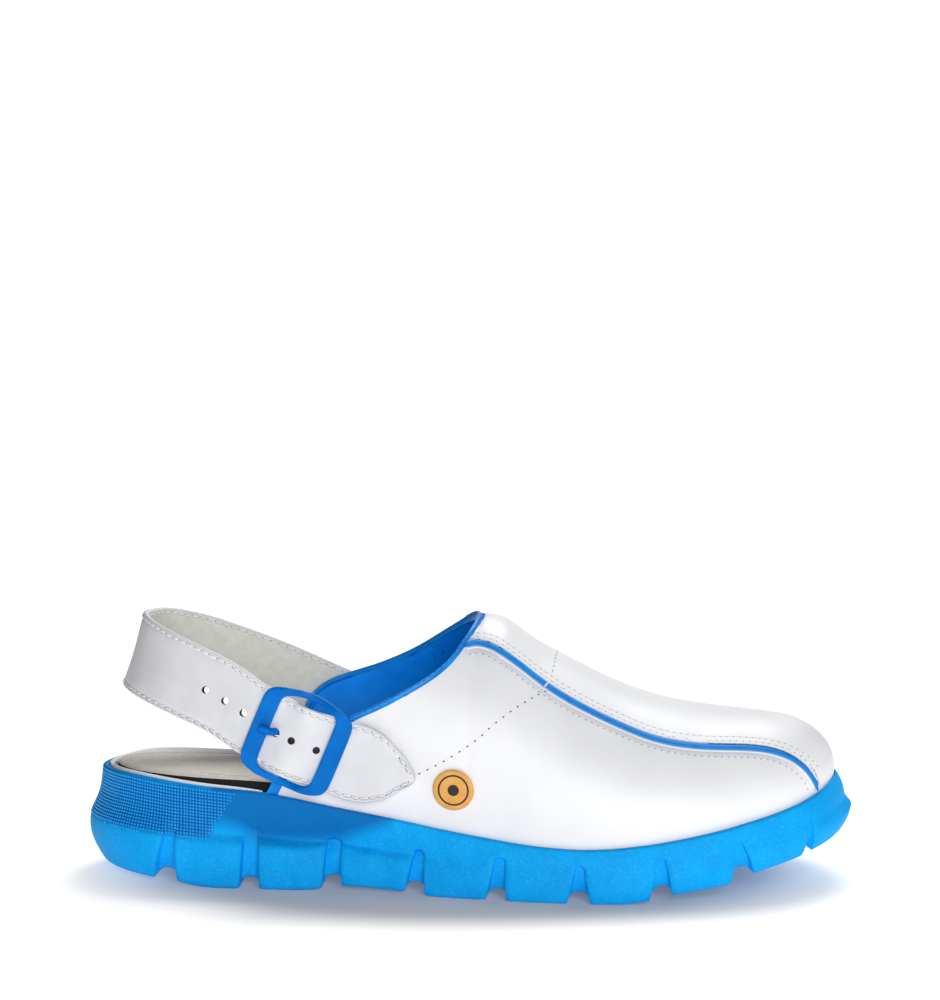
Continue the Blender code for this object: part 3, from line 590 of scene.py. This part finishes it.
insoleLook = {
    "topFacing": 0.75, "topArea": 20 * mm * mm, "rim": 1.6 * mm, "dish": (7 * mm, 0.5 * mm),
    "sharp": 30, "crease": 0.6, "levels": 2, "suedeFacing": 0.35,
}
insole = copyNode("insole", "insoleCushion")
pickFaces(insole, lambda f: f.normal.z > insoleLook["topFacing"] and f.area > insoleLook["topArea"])
bpy.ops.mesh.inset(thickness=insoleLook["rim"], depth=0)
bpy.ops.mesh.inset(thickness=insoleLook["dish"][0], depth=-insoleLook["dish"][1])
closeEdit()
creaseSharp(insole, insoleLook["sharp"], insoleLook["crease"])
subdivide(insole, insoleLook["levels"])
for face in insole.data.polygons:
    face.material_index = 0 if face.normal.z > insoleLook["suedeFacing"] else 1
smoothShade(insole)
dress(insole, "insole_suede", taupeSuede, blackLatexFoam, node="insole")

bandLook = {"sharp": 40, "crease": 0.5, "levels": 2}
band = softCopy("heel_band", "heelEdgeTape", bandLook)
smoothShade(band)
dress(band, "edge_band", whiteTape, node="heel_band")


# Upper: leather outside, lining inside

upperLook = {
    "sharp": 42, "crease": 0.85, "levels": 2, "smooth": 50, "inside": (40 * mm, 4 * mm, 45 * mm),
    "heart": (-30 * mm, 0, 50 * mm), "underBinding": 4.0 * mm, "outside": 0.4,
}
upper = copyNode("upper", "upperLeather")


def lineInside(piece, start, sharpAngle):
    # the inner wall is what can be reached from its crown without crossing a sharp edge
    work = bmesh.new()
    work.from_mesh(piece.data)
    work.faces.ensure_lookup_table()
    skin = BVHTree.FromBMesh(work)
    todo = [work.faces[skin.ray_cast(Vector(start), Vector((0, 0, 1)))[2]]]
    while todo:
        face = todo.pop()
        face.material_index = 1
        for edge in face.edges:
            if edge.calc_face_angle(0) < math.radians(sharpAngle):
                todo += [f for f in edge.link_faces if f.material_index == 0]
    lined = [f for f in work.faces if f.material_index == 1]
    for face in lined:
        for edge in face.edges:
            for beside in edge.link_faces:
                beside.material_index = 1
    work.to_mesh(piece.data)
    work.free()


lineInside(upper, upperLook["inside"], upperLook["sharp"])
creaseSharp(upper, upperLook["sharp"], upperLook["crease"])
subdivide(upper, upperLook["levels"])
bindingNear = surfaceOf(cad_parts["collar_binding"])
for face in upper.data.polygons:
    outwards = (face.center - Vector(upperLook["heart"])).normalized()
    near = bindingNear.find_nearest(face.center, upperLook["underBinding"])[0]
    if near and face.normal.dot(outwards) < upperLook["outside"]:
        face.material_index = 1
smoothShade(upper, upperLook["smooth"])
dress(upper, "upper_leather", whiteLeather, blueLiningLeather, node="upper")
upperSkin = surfaceOf(upper, lambda face: face.material_index == 0)

bindingLook = {
    "sharp": 60, "crease": 0.8, "levels": 2, "reach": 1.6 * mm, "facing": 0.5, "sink": 0.15 * mm,
    "pitch": 2.6 * mm, "stitch": 1.9 * mm, "thick": 0.42 * mm, "out": 3 * mm,
    "start": (-69.5, -30.5, 0), "ringSize": 8,
}
binding = softCopy("collar_binding", "collarBinding", bindingLook)


def pressOnto(piece, skin, press):
    # the underside goes on to the edge below it, so that no light comes through
    moved = {}
    for v in piece.data.vertices:
        spot = skin.find_nearest(v.co, press["reach"])[0]
        way = (spot - v.co).normalized() if spot else v.normal * 0
        if v.normal.dot(way) > press["facing"]:
            moved[v.index] = spot + way * press["sink"]
    for index, place in moved.items():
        piece.data.vertices[index].co = place
    print("pressed on", len(moved), "points of", piece.name)


pressOnto(binding, surfaceOf(upper), bindingLook)
smoothShade(binding)
dress(binding, "binding", blueTrimLeather, node="collar_binding")


pipingLook = {"sharp": 40, "crease": 0.35, "levels": 2}
for node, name in (("piping_lateral", "pipingLateral"), ("piping_medial", "pipingMedial")):
    piping = softCopy(node, name, pipingLook)
    smoothShade(piping)
    dress(piping, "piping", blueTrimLeather, node=node)


# Heel strap: a folded and stitched leather band bent along the CAD strap's own sections

strapLook = {
    # distance in from the edge, share of the half thickness, pull of the stitches there
    "edge": [(0.0, 0.0, 0.0), (0.1, 0.5, 0.1), (0.4, 0.9, 0.2), (0.9, 1.10, 0.3), (1.4, 0.94, 0.7),
             (1.9, 0.66, 1.0), (2.4, 0.90, 0.7), (3.3, 1.02, 0.3), (7.0, 1.0, 0.0)],
    "edgeFull": 9.0 * mm, "row": 1.1 * mm, "levels": 1, "sharp": 75, "crease": 0.4, "smooth": 40,
    "cadSharp": 50, "heel": (-80 * mm, 0, 0), "lateralFrom": -112 * mm, "liningFacing": -0.55,
    # stitch rows: distance in, narrowest sewn width, dip of the edge, size of a stitch and of its shade
    "stitchIn": 1.9 * mm, "sewnFrom": 5.0 * mm, "pitch": 3.3 * mm, "pull": 0.22, "nip": 0.14 * mm,
    "stitch": 2.8 * mm, "thick": 0.95 * mm, "wobble": 0.1, "sink": -0.15,
    "pits": (0.7 * mm, 0.8 * mm), "under": (2.3 * mm, 0.55 * mm, 0.45 * mm),
    # place along x and radius of each hole, in mm
    "holes": ((-91.5, 1.35), (-84.3, 1.35), (-77.5, 1.35), (-65.9, 1.6), (-59.9, 1.35), (-51.8, 1.35)),
    "holeDent": (2.4 * mm, 0.3 * mm), "punchSides": 24, "punchDepth": 12 * mm,
    "holeWall": 0.15, "holeReach": 4 * mm, "holeFacing": 0.5,
    "darkHoles": 2, "darkAt": -0.2 * mm, "dark": (3.0 * mm, 3.0 * mm, 0.2 * mm),
}


def strapSections():
    # the strap's outer and inner faces, each a loop that turns at the tail
    sides = []
    for loop in hardLoops("heel_strap", strapLook["cadSharp"])[:2]:
        onLateral = [i for i in range(len(loop)) if loop[i].y <= 0]
        tail = max(onLateral, key=lambda i: (loop[i - 1] + loop[i]).x)
        loop = loop[tail:] + loop[:tail]
        half = len(loop) // 2
        pair = [loop[:half], loop[:half - 1:-1]]
        sides.append(sorted(pair, key=lambda chain: -sum(p.z for p in chain)))
    heel = Vector(strapLook["heel"])
    sides.sort(key=lambda pair: -sum((p - heel).xy.length for p in pair[0]))
    (outerTop, outerFoot), (innerTop, innerFoot) = sides
    return list(zip(outerTop, outerFoot, innerFoot, innerTop))


def between(a, b, c, d, t):
    # a smooth curve from b to c that knows its neighbours a and d
    return b + ((c - a) * t + (2 * a - 5 * b + 4 * c - d) * t ** 2 + (3 * b - a - 3 * c + d) * t ** 3) / 2


def finerRows(rows, pitch):
    run = lengths([mean(row) for row in rows])
    count = int(run[-1] / pitch)
    fine, k = [], 0
    for i in range(count + 1):
        s = run[-1] * i / count
        while k < len(run) - 2 and run[k + 1] < s:
            k += 1
        t = (s - run[k]) / (run[k + 1] - run[k])
        near = [rows[max(k - 1, 0)], rows[k], rows[k + 1], rows[min(k + 2, len(rows) - 1)]]
        fine.append(tuple(between(*corner, t) for corner in zip(*near)))
    return fine


strapRows = finerRows(strapSections(), strapLook["row"])
sewn = [i for i, row in enumerate(strapRows) if (row[0] - row[1]).length > strapLook["sewnFrom"]]


def strapLine(start, end):
    points = []
    for i in sewn:
        a, b = strapRows[i][start], strapRows[i][end]
        points.append(a + (b - a).normalized() * strapLook["stitchIn"])
    return points


def stitchPull(line):
    # 1 at each needle hole and 0 half way between, for every row of the strap
    run = lengths(line)
    step = run[-1] / int(run[-1] / strapLook["pitch"])
    pull = [0.0] * len(strapRows)
    for i, s in zip(sewn, run):
        pull[i] = (1 + math.cos(2 * math.pi * s / step)) / 2
    return pull


topLine, footLine = strapLine(0, 1), strapLine(1, 0)
topPull, footPull = stitchPull(topLine), stitchPull(footLine)


def strapRing(row, pullTop, pullFoot):
    outerTop, outerFoot, innerFoot, innerTop = row
    top, foot = (outerTop + innerTop) / 2, (outerFoot + innerFoot) / 2
    down = (foot - top).normalized()
    top, foot = top + down * strapLook["nip"] * pullTop, foot - down * strapLook["nip"] * pullFoot
    width = (foot - top).length
    out = (outerTop - innerTop) / 2
    shrink = min(1.0, width / (2 * strapLook["edgeFull"]))
    line = []
    for d, share, part in strapLook["edge"]:
        line.append((d * mm * shrink, share - part * strapLook["pull"] * pullTop))
    for d, share, part in reversed(strapLook["edge"]):
        line.append((width - d * mm * shrink, share - part * strapLook["pull"] * pullFoot))
    outer = [top + down * d + out * share for d, share in line]
    inner = [top + down * d - out * share for d, share in line]
    return outer[:-1] + inner[::-1][:-1]


strap = loft("heelStrap", [strapRing(*parts) for parts in zip(strapRows, topPull, footPull)])
creaseSharp(strap, strapLook["sharp"], strapLook["crease"])
subdivide(strap, strapLook["levels"])
strapSkin = surfaceOf(strap)
halfway = [(mean(row), (row[0] - row[3]).normalized()) for row in strapRows]
lateralHalf = [spot for spot in halfway if spot[0].y < 0 and spot[0].x > strapLook["lateralFrom"]]


def strapSpot(x):
    pairs = sorted(lateralHalf, key=lambda s: abs(s[0].x - x))[:2]
    (a, outA), (b, outB) = pairs
    t = (x - a.x) / (b.x - a.x)
    return a.lerp(b, t), outA.lerp(outB, t).normalized()


def punchStrap():
    reach, depth = strapLook["holeDent"]
    for x, radius in strapLook["holes"]:
        at, out = strapSpot(x * mm)
        for v in strap.data.vertices:
            away = v.co - at
            flat = (away - out * away.dot(out)).length
            if flat < reach and away.length < 2 * reach and away.dot(out) > 0:
                v.co -= out * depth * (1 + math.cos(math.pi * flat / reach)) / 2
        bpy.ops.mesh.primitive_cylinder_add(vertices=strapLook["punchSides"], radius=radius * mm,
                                            depth=strapLook["punchDepth"], location=at,
                                            rotation=out.to_track_quat("Z", "Y").to_euler())
        punch = bpy.context.object
        modify(strap, "BOOLEAN", operation="DIFFERENCE", object=punch, solver="MANIFOLD")
        bpy.data.objects.remove(punch)


punchStrap()
strap.data.materials.clear()
for face in strap.data.polygons:
    near = min(halfway, key=lambda s: (s[0] - face.center).length)
    face.material_index = 1 if face.normal.dot(near[1]) < strapLook["liningFacing"] else 0
# the walls of the holes take the third, dark finish: painted shade inside the holes
for x, radius in strapLook["holes"]:
    at, out = strapSpot(x * mm)
    for face in strap.data.polygons:
        away = face.center - at
        flat = (away - out * away.dot(out)).length
        inHole = flat < (radius + strapLook["holeWall"]) * mm and away.length < strapLook["holeReach"]
        if inHole and abs(face.normal.dot(out)) < strapLook["holeFacing"]:
            face.material_index = 2
smoothShade(strap, strapLook["smooth"])
dress(strap, "strap_leather", strapLeather, strapLining, paintedHoleShade, node="heel_strap")

# The last two holes lie against the quarter, so only the dark between shows in them: a dark disc behind
# each is painted shade
darkPlaces = []
for x, radius in strapLook["holes"][-strapLook["darkHoles"]:]:
    at, out = strapSpot(x * mm)
    darkPlaces.append(standing(at + out * strapLook["darkAt"], Vector((1, 0, 0)), out, strapLook["dark"]))
dress(scatter("strapHoleShade", bumpStamp(), darkPlaces), "strap_leather", paintedHoleShade)


# Buckle: lacquered frame and prong with rolled edges

buckleLook = {
    "sharp": 50, "crease": 0.8, "levels": 2,
    # grain of the new mesh, swelling and rounds of smoothing
    "frame": (0.26 * mm, 0.0, 10), "prong": (0.16 * mm, 0.3 * mm, 8),
}


def makeLacquered(node, name, grain, swell, soften):
    piece = softCopy(node, name, buckleLook)
    if swell:
        openEdit(piece)
        bpy.ops.mesh.select_all(action="SELECT")
        bpy.ops.transform.shrink_fatten(value=swell)
        closeEdit()
    modify(piece, "REMESH", mode="VOXEL", voxel_size=grain)
    modify(piece, "SMOOTH", factor=0.5, iterations=soften)
    smoothShade(piece)
    return dress(piece, "buckle_lacquer", blueLacquer, node=node)


makeLacquered("buckle_frame", "buckleFrame", *buckleLook["frame"])
makeLacquered("buckle_prong", "buckleProng", *buckleLook["prong"])


# Badge: amber disc with a plain printed ring and dot

badgeLook = {
    "sharp": 30, "crease": 0.4, "levels": 2,
    "centre": (-3.1, 0, 38.6), "ring": (4.9 * mm, 5.5 * mm), "dot": (0.05 * mm, 2.0 * mm),
    "lift": 0.06 * mm, "ink": 0.1 * mm, "far": 20 * mm, "steps": 48, "rows": 4,
}
badge = softCopy("badge", "badgeDisc", badgeLook)
smoothShade(badge)
dress(badge, "badge_amber", amberEnamel, node="badge")


# Stitching

pitLook = {"deep": 0.4 * mm, "lift": 0.1}
thread = threadStamp()
hole = holeStamp()


def sewRow(name, points, skin, pitch, length, thick, slot, finish, wobble=0.06, holes=None, sink=0.1,
           count=None, shade=needleShade, under=None):
    # stitches along a path on the skin, with the needle holes and the shade under the threads, both painted
    # shade
    spots = resample(points, pitch, count)
    places, pits = [], []
    for a, b in zip(spots, spots[1:]):
        atA, outA = skin.find_nearest(a)[:2]
        atB = skin.find_nearest(b)[0]
        middle, out = skin.find_nearest((atA + atB) / 2)[:2]
        along = atB - atA
        turn = out.cross(along) * random.uniform(-wobble, wobble)
        at = middle - out * thick * sink
        places.append(standing(at, along + turn, out, (length, thick, thick)))
        if under:
            down = along.cross(out).normalized()
            down = down if down.z < 0 else -down
            pits.append(standing(at + down * under[2] + out * thick * pitLook["lift"], along + turn, out,
                                 (under[0], under[1], pitLook["deep"])))
        if holes:
            pits.append(standing(atA, along, outA, (holes[0], holes[1], pitLook["deep"])))
    row = scatter(name, thread, places)
    smoothShade(row)
    dress(row, slot, finish)
    if holes:
        dress(scatter(name + "Holes", hole, pits), slot, shade)
    return row


strapSides = {"OuterTop": topLine, "OuterFoot": footLine,
              "InnerTop": strapLine(3, 2), "InnerFoot": strapLine(2, 3)}
for label, path in strapSides.items():
    sewRow("strapStitch" + label, path, strapSkin, strapLook["pitch"], strapLook["stitch"],
           strapLook["thick"], "strap_leather", whiteThread, wobble=strapLook["wobble"],
           holes=strapLook["pits"], sink=strapLook["sink"], shade=stitchShade, under=strapLook["under"],
           count=int(lengths(topLine)[-1] / strapLook["pitch"]))


# Panel seams beside the pipings: folded edge, cut edge and stitch rows

seamLook = {
    "step": 1.2 * mm, "ringSize": 4,
    "pitch": 2.4 * mm, "stitch": 1.6 * mm, "thick": 0.42 * mm, "holes": (0.9 * mm, 0.5 * mm),
    "panelRows": (2.6 * mm, 5.0 * mm), "panelRowEnds": 3, "quarterRow": -4.2 * mm,
    # offset, half width and height of the rolls beside the piping
    "fold": (-1.3 * mm, 0.5 * mm, 0.2 * mm), "cutEdge": (2.0 * mm, 0.40 * mm, 0.30 * mm),
    "tie": (3.8 * mm, 0.7 * mm), "tieAt": (29.3, -21.5, 73.0), "tieFrom": 3 * mm,
}
gapLook = {
    "offset": 0.95 * mm, "wide": 0.55 * mm, "long": 2.6 * mm, "deep": 0.4 * mm, "lift": 0.05 * mm,
    # past this share of the seam every gap is open and long; before it some are, and they are short
    "toeFrom": 0.62, "toeLong": 1.25, "open": 0.35, "longShare": (0.4, 0.9), "wideShare": (0.7, 1.0),
}


def besideSeam(line, skin, offset, panelSide):
    # the line moved across the skin, towards the centre panel where the offset is positive
    moved = []
    for i, p in enumerate(line):
        along = line[min(i + 1, len(line) - 1)] - line[max(i - 1, 0)]
        at, out = skin.find_nearest(p)[:2]
        across = out.cross(along).normalized()
        if across.y * panelSide < 0:
            across.negate()
        moved.append(skin.find_nearest(at + across * offset)[0])
    return moved


def rollAlong(name, line, skin, wide, high, sides=8):
    # a low rounded strip that lies on the skin
    rings = []
    for i, p in enumerate(line):
        along = (line[min(i + 1, len(line) - 1)] - line[max(i - 1, 0)]).normalized()
        at, out = skin.find_nearest(p)[:2]
        across = out.cross(along).normalized()
        ring = []
        for k in range(sides):
            turn = 2 * math.pi * k / sides
            ring.append(at + across * wide * math.cos(turn) + out * high * math.sin(turn))
        rings.append(ring)
    return loft(name, rings)


def gapPlaces(line, skin):
    # shaded gaps between the piping and the panel's edge, longer and closer towards the toe
    wide, long = gapLook["wide"], gapLook["long"]
    places, spots = [], resample(line, long)
    for i, (a, b) in enumerate(zip(spots, spots[1:])):
        byToe = i / len(spots) > gapLook["toeFrom"]
        if byToe or random.random() < gapLook["open"]:
            at, out = skin.find_nearest((a + b) / 2)[:2]
            reach = gapLook["toeLong"] if byToe else random.uniform(*gapLook["longShare"])
            size = (long * reach, wide * random.uniform(*gapLook["wideShare"]), gapLook["deep"])
            places.append(standing(at + out * gapLook["lift"], b - a, out, size))
    return places


def seamRow(name, line, offset, panelSide):
    sewRow(name, besideSeam(line, upperSkin, offset, panelSide), upperSkin, seamLook["pitch"],
           seamLook["stitch"], seamLook["thick"], "upper_leather", whiteThread, holes=seamLook["holes"],
           shade=stitchShade)


# CAD node, a point past its collar end and the sign of y towards the centre panel
pipingEnds = {"Lateral": ("piping_lateral", (-100, -18.5, 87.0), 1),
              "Medial": ("piping_medial", (-100, 19.0, 88.5), -1)}
seamLines = {}
for side, (node, start, panelSide) in pipingEnds.items():
    middle = middleLine(node, Vector(start) * mm, seamLook["ringSize"])
    line = seamLines[side] = resample(rounded(middle), seamLook["step"])
    for number, offset in enumerate(seamLook["panelRows"]):
        seamRow(f"panelStitch{side}{number + 1}", line[:-seamLook["panelRowEnds"]], offset, panelSide)
    seamRow(f"quarterStitch{side}", line, seamLook["quarterRow"], panelSide)
    trimSkin = surfaceOf(bpy.data.objects["piping" + side])
    gaps = gapPlaces(besideSeam(line, trimSkin, gapLook["offset"], panelSide), trimSkin)
    dress(scatter("panelGap" + side, hole, gaps), "upper_leather", seamShadow)
    strips = (("quarterFold", whiteLeather, "fold"), ("panelEdge", rawLeatherEdge, "cutEdge"))
    for name, finish, key in strips:
        offset, wide, high = seamLook[key]
        moved = besideSeam(line, upperSkin, offset, panelSide)
        strip = rollAlong(name + side, moved, upperSkin, wide, high)
        smoothShade(strip)
        dress(strip, "upper_leather", finish)


# One stitch tied over the lateral piping, where the cross seams meet it
tiedTo = surfaceOf(bpy.data.objects["pipingLateral"])
tieLine, tieAt = seamLines["Lateral"], Vector(seamLook["tieAt"]) * mm
k = min(range(len(tieLine)), key=lambda i: (tieLine[i] - tieAt).length)
spot, ahead = tieLine[k:k + 2]
out = upperSkin.find_nearest(spot)[1]
at = tiedTo.find_nearest(spot + out * seamLook["tieFrom"])[0]
long, thick = seamLook["tie"]
tie = scatter("pipingTie", thread, [standing(at, out.cross(ahead - spot), out, (long, thick, thick))])
dress(tie, "upper_leather", whiteThread)


# Cross seams that hold the lining: needle holes drawn as dark marks of painted shade, with short sunk
# stitches

crossLook = {
    "pitch": 3.2 * mm, "stitch": 1.9 * mm, "thick": 0.45 * mm, "holes": (0.9 * mm, 0.6 * mm),
    "step": 0.8 * mm, "sink": 0.25,
    "lines": {
        "crossSeamPanel": ((30.0, 19, 73.9), (31.2, 10, 78.0), (31.4, 0, 79.5), (31.0, -9, 78.0),
                           (29.8, -18, 73.9)),
        "crossSeamLateral": ((28.9, -25, 71.6), (13.4, -35, 63.3), (3.1, -40, 54.5), (-14.3, -43, 44.3),
                             (-19.0, -43, 42.6)),
        "crossSeamMedial": ((28.9, 25, 71.6), (13.4, 35, 63.3), (3.1, 40, 54.5), (-14.3, 43, 44.3)),
        "crossSeamLow": ((-37.4, -44, 33.6), (-40.0, -44, 30.1)),
    },
}
for name, points in crossLook["lines"].items():
    path = smoothPath(points, crossLook["step"])
    path = [upperSkin.find_nearest(p)[0] for p in path]
    sewRow(name, path, upperSkin, crossLook["pitch"], crossLook["stitch"], crossLook["thick"],
           "upper_leather", whiteThread, holes=crossLook["holes"], sink=crossLook["sink"])


# Blue stitching along the collar binding

bindingSkin = surfaceOf(binding)
bindingPath = []
for p in middleLine("collar_binding", Vector(bindingLook["start"]) * mm, bindingLook["ringSize"]):
    out = upperSkin.find_nearest(p)[1]
    bindingPath.append(bindingSkin.find_nearest(p + out * bindingLook["out"])[0])
sewRow("bindingStitch", rounded(bindingPath), bindingSkin, bindingLook["pitch"], bindingLook["stitch"],
       bindingLook["thick"], "binding", blueThread)


# Creases: soft folds in the lining by the collar and a faint cut in the suede, drawn as a thin dark line of
# painted shade

foldLook = {
    "step": 0.6 * mm,
    # half width and height of each fold, and its line down from the collar
    "liningFold1": (0.8 * mm, 0.35 * mm,
                    ((-10.6, 23.5, 82.6), (-9.1, 25.2, 80.8), (-7.3, 26.6, 78.3), (-5.6, 28.5, 74.5))),
    "liningFold2": (0.7 * mm, 0.3 * mm, ((-13.4, 25.8, 80.0), (-12.2, 27.0, 78.3), (-11.2, 28.5, 75.5))),
    "liningFold3": (0.6 * mm, 0.25 * mm, ((-15.6, 27.8, 77.0), (-14.8, 28.8, 75.2), (-14.4, 30.0, 72.5))),
}
liningSkin = surfaceOf(upper, lambda face: face.material_index == 1)
for name in ("liningFold1", "liningFold2", "liningFold3"):
    wide, high, points = foldLook[name]
    path = [liningSkin.find_nearest(p)[0] for p in smoothPath(points, foldLook["step"])]
    fold = rollAlong(name, path, liningSkin, wide, high)
    smoothShade(fold)
    dress(fold, "upper_leather", blueLiningLeather)
cutLook = {"line": ((-95.6, -18.7, 39.1), (-86.2, -22.25, 39.1), (-77.4, -24.4, 39.0)), "step": 0.8 * mm,
           "wide": 0.16 * mm, "high": 0.05 * mm, "sides": 6}
path = smoothPath(cutLook["line"], cutLook["step"])
cut = rollAlong("suedeCut", path, surfaceOf(insole), cutLook["wide"], cutLook["high"], cutLook["sides"])
dress(cut, "insole_suede", needleShade)


# The binding's wide folded foot, where it meets the sole

footLook = {
    "path": ((-65.9, -32.0, 38.8), (-66.8, -32.0, 36.9), (-67.8, -31.6, 35.0), (-68.8, -30.6, 33.0)),
    "across": (2.0, 0.7, -0.35), "thick": (-0.25, -0.65, 0.0), "sides": 16, "square": 0.5, "smooth": 50,
}
rings = []
for p in footLook["path"]:
    ring = []
    for k in range(footLook["sides"]):
        turn = 2 * math.pi * k / footLook["sides"]
        c, s = math.cos(turn), math.sin(turn)
        c, s = (math.copysign(abs(part) ** footLook["square"], part) for part in (c, s))
        ring.append((Vector(p) + Vector(footLook["across"]) * c + Vector(footLook["thick"]) * s) * mm)
    rings.append(ring)
bindingFoot = loft("bindingFoot", rings)
smoothShade(bindingFoot, footLook["smooth"])
dress(bindingFoot, "binding", blueTrimLeather)


# Print on the badge: a plain ring and dot, wrapped on the disc

def printOnBadge(name, inner, outer):
    skin = surfaceOf(badge)
    middle = Vector(badgeLook["centre"]) * mm
    middle.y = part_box("badge")[0][1] - badgeLook["far"]
    steps, rows = badgeLook["steps"], badgeLook["rows"]
    verts, faces = [], []
    for r in range(rows):
        radius = inner + (outer - inner) * r / (rows - 1)
        for i in range(steps):
            turn = 2 * math.pi * i / steps
            start = middle + Vector((math.cos(turn) * radius, 0, math.sin(turn) * radius))
            at, out = skin.ray_cast(start, Vector((0, 1, 0)))[:2]
            verts.append(at + out * badgeLook["lift"])
    for r in range(rows - 1):
        for i in range(steps):
            j = (i + 1) % steps
            faces.append((r * steps + i, r * steps + j, (r + 1) * steps + j, (r + 1) * steps + i))
    mark = newMesh(name, verts, faces)
    openEdit(mark)
    bpy.ops.mesh.select_all(action="SELECT")
    bpy.ops.mesh.normals_make_consistent(inside=False)
    closeEdit()
    modify(mark, "SOLIDIFY", thickness=badgeLook["ink"], offset=-1)
    return dress(mark, "badge_amber", blackInk)


printOnBadge("badgeRing", *badgeLook["ring"])
printOnBadge("badgeDot", *badgeLook["dot"])


# Floor, light and camera

stage = {
    "floor": (3.0, 2.8), "floorAt": -0.2, "wall": 1.0, "wallAt": 2.6,
    # painted shadow: the paper's glow is dimmer in a pool round the shoe; half sizes and shift, soft edge,
    # glow inside and outside
    "pool": (0.16, 0.092, -0.004), "poolEdge": (0.6, 1.0), "glow": (0.12, 0.72),
    "farGlow": (0.2, 0.8, 0.3),        # from and to this far behind, so much more glow
    "world": 0.02, "clipStart": 0.01, "target": (0.6 * mm, 0.0, 37.1 * mm), "distance": 1.0,
    "azimuth": 3.0, "elevation": 12.0, "pitch": 6.333, "lens": 97.96,
    "lights": [
        # name, place, aim, size, watts
        ("frontSoftbox", (0.283, -1.32, 0.41), (0, 0, 0.04), 0.7, 11.8),
        ("backSoftbox", (0.223, 0.833, 1.143), (0, 0, 0.04), 0.7, 13.4),
        ("sideSoftbox", (1.264, 0.11, 0.632), (0, 0, 0.04), 0.7, 1.8),
    ],
}


def paperFinish():
    # seamless studio paper that glows away from the shoe, so that it washes out to white; round the shoe
    # the glow is dimmer, a painted shadow
    paper = finishOf("pale studio paper", {
        "deep": "D2CFCA", "pale": "D8D5D0", "patch": 400.0, "rough": (0.9, 0.95),
        "grain": 3.0, "depth": 0.01, "bump": 0.05,
    })
    tree = paper.node_tree
    wide, deep, ahead = stage["pool"]
    coords = addNode(tree, "TexCoord").outputs["Object"]
    pool = addNode(tree, "Mapping", {"Location": (0, -ahead / deep, 0), "Scale": (1 / wide, 1 / deep, 0)},
                   {"Vector": coords})
    away = addNode(tree, "VectorMath", links={0: pool.outputs["Vector"]}, operation="LENGTH")
    (near, far), (low, high) = stage["poolEdge"], stage["glow"]
    glow = addNode(tree, "MapRange", {"From Min": near, "From Max": far, "To Min": low, "To Max": high},
                   {"Value": away.outputs["Value"]}, interpolation_type="SMOOTHSTEP")
    start, end, more = stage["farGlow"]
    apart = addNode(tree, "SeparateXYZ", links={0: coords})
    behind = addNode(tree, "MapRange", {"From Min": start, "From Max": end, "To Max": more},
                     {"Value": apart.outputs["Y"]})
    whole = addNode(tree, "Math", links={0: glow.outputs["Result"], 1: behind.outputs["Result"]},
                    operation="ADD")
    shader = tree.nodes["Principled BSDF"]
    shader.inputs["Emission Color"].default_value = (1, 1, 1, 1)
    tree.links.new(whole.outputs[0], shader.inputs["Emission Strength"])
    paper.cycles.emission_sampling = "NONE"
    return paper


def makeStage():
    paper = paperFinish()
    bpy.ops.mesh.primitive_plane_add(size=2)
    floor = bpy.context.object
    floor.name = "paleFloor"
    openEdit(floor)
    bpy.ops.mesh.select_all(action="SELECT")
    bpy.ops.transform.resize(value=(stage["floor"][0], stage["floor"][1], 1))
    bpy.ops.transform.translate(value=(0, stage["floorAt"], 0))
    closeEdit()
    bpy.ops.mesh.primitive_plane_add(size=2 * stage["wall"])
    wall = bpy.context.object
    wall.name = "paleWall"
    openEdit(wall)
    bpy.ops.mesh.select_all(action="SELECT")
    bpy.ops.transform.rotate(value=math.pi / 2, orient_axis="X", center_override=(0, 0, 0))
    bpy.ops.transform.translate(value=(0, stage["wallAt"], 0))
    closeEdit()
    for sheet in (floor, wall):
        sheet.data.materials.append(paper)
    scene = bpy.context.scene
    scene.world = bpy.data.worlds.new("studio")
    scene.world.use_nodes = True
    sky = scene.world.node_tree.nodes["Background"]
    sky.inputs["Color"].default_value = (1, 1, 1, 1)
    sky.inputs["Strength"].default_value = stage["world"]
    for name, place, aim, size, watts in stage["lights"]:
        bpy.ops.object.light_add(type="AREA", location=place)
        lamp = bpy.context.object
        lamp.name = name
        lamp.rotation_euler = (Vector(aim) - Vector(place)).to_track_quat("-Z", "Y").to_euler()
        lamp.data.size = size
        lamp.data.energy = watts
    around, above = math.radians(stage["azimuth"]), math.radians(stage["elevation"])
    level = math.cos(above)
    back = Vector((math.sin(around) * level, -math.cos(around) * level, math.sin(above)))
    bpy.ops.object.camera_add(location=Vector(stage["target"]) + back * stage["distance"],
                              rotation=(math.radians(90 - stage["pitch"]), 0, around))
    camera = bpy.context.object
    camera.data.lens = stage["lens"]
    camera.data.clip_start = stage["clipStart"]
    scene.camera = camera
    scene.view_settings.view_transform = "Standard"


makeStage()
print("stage ready")
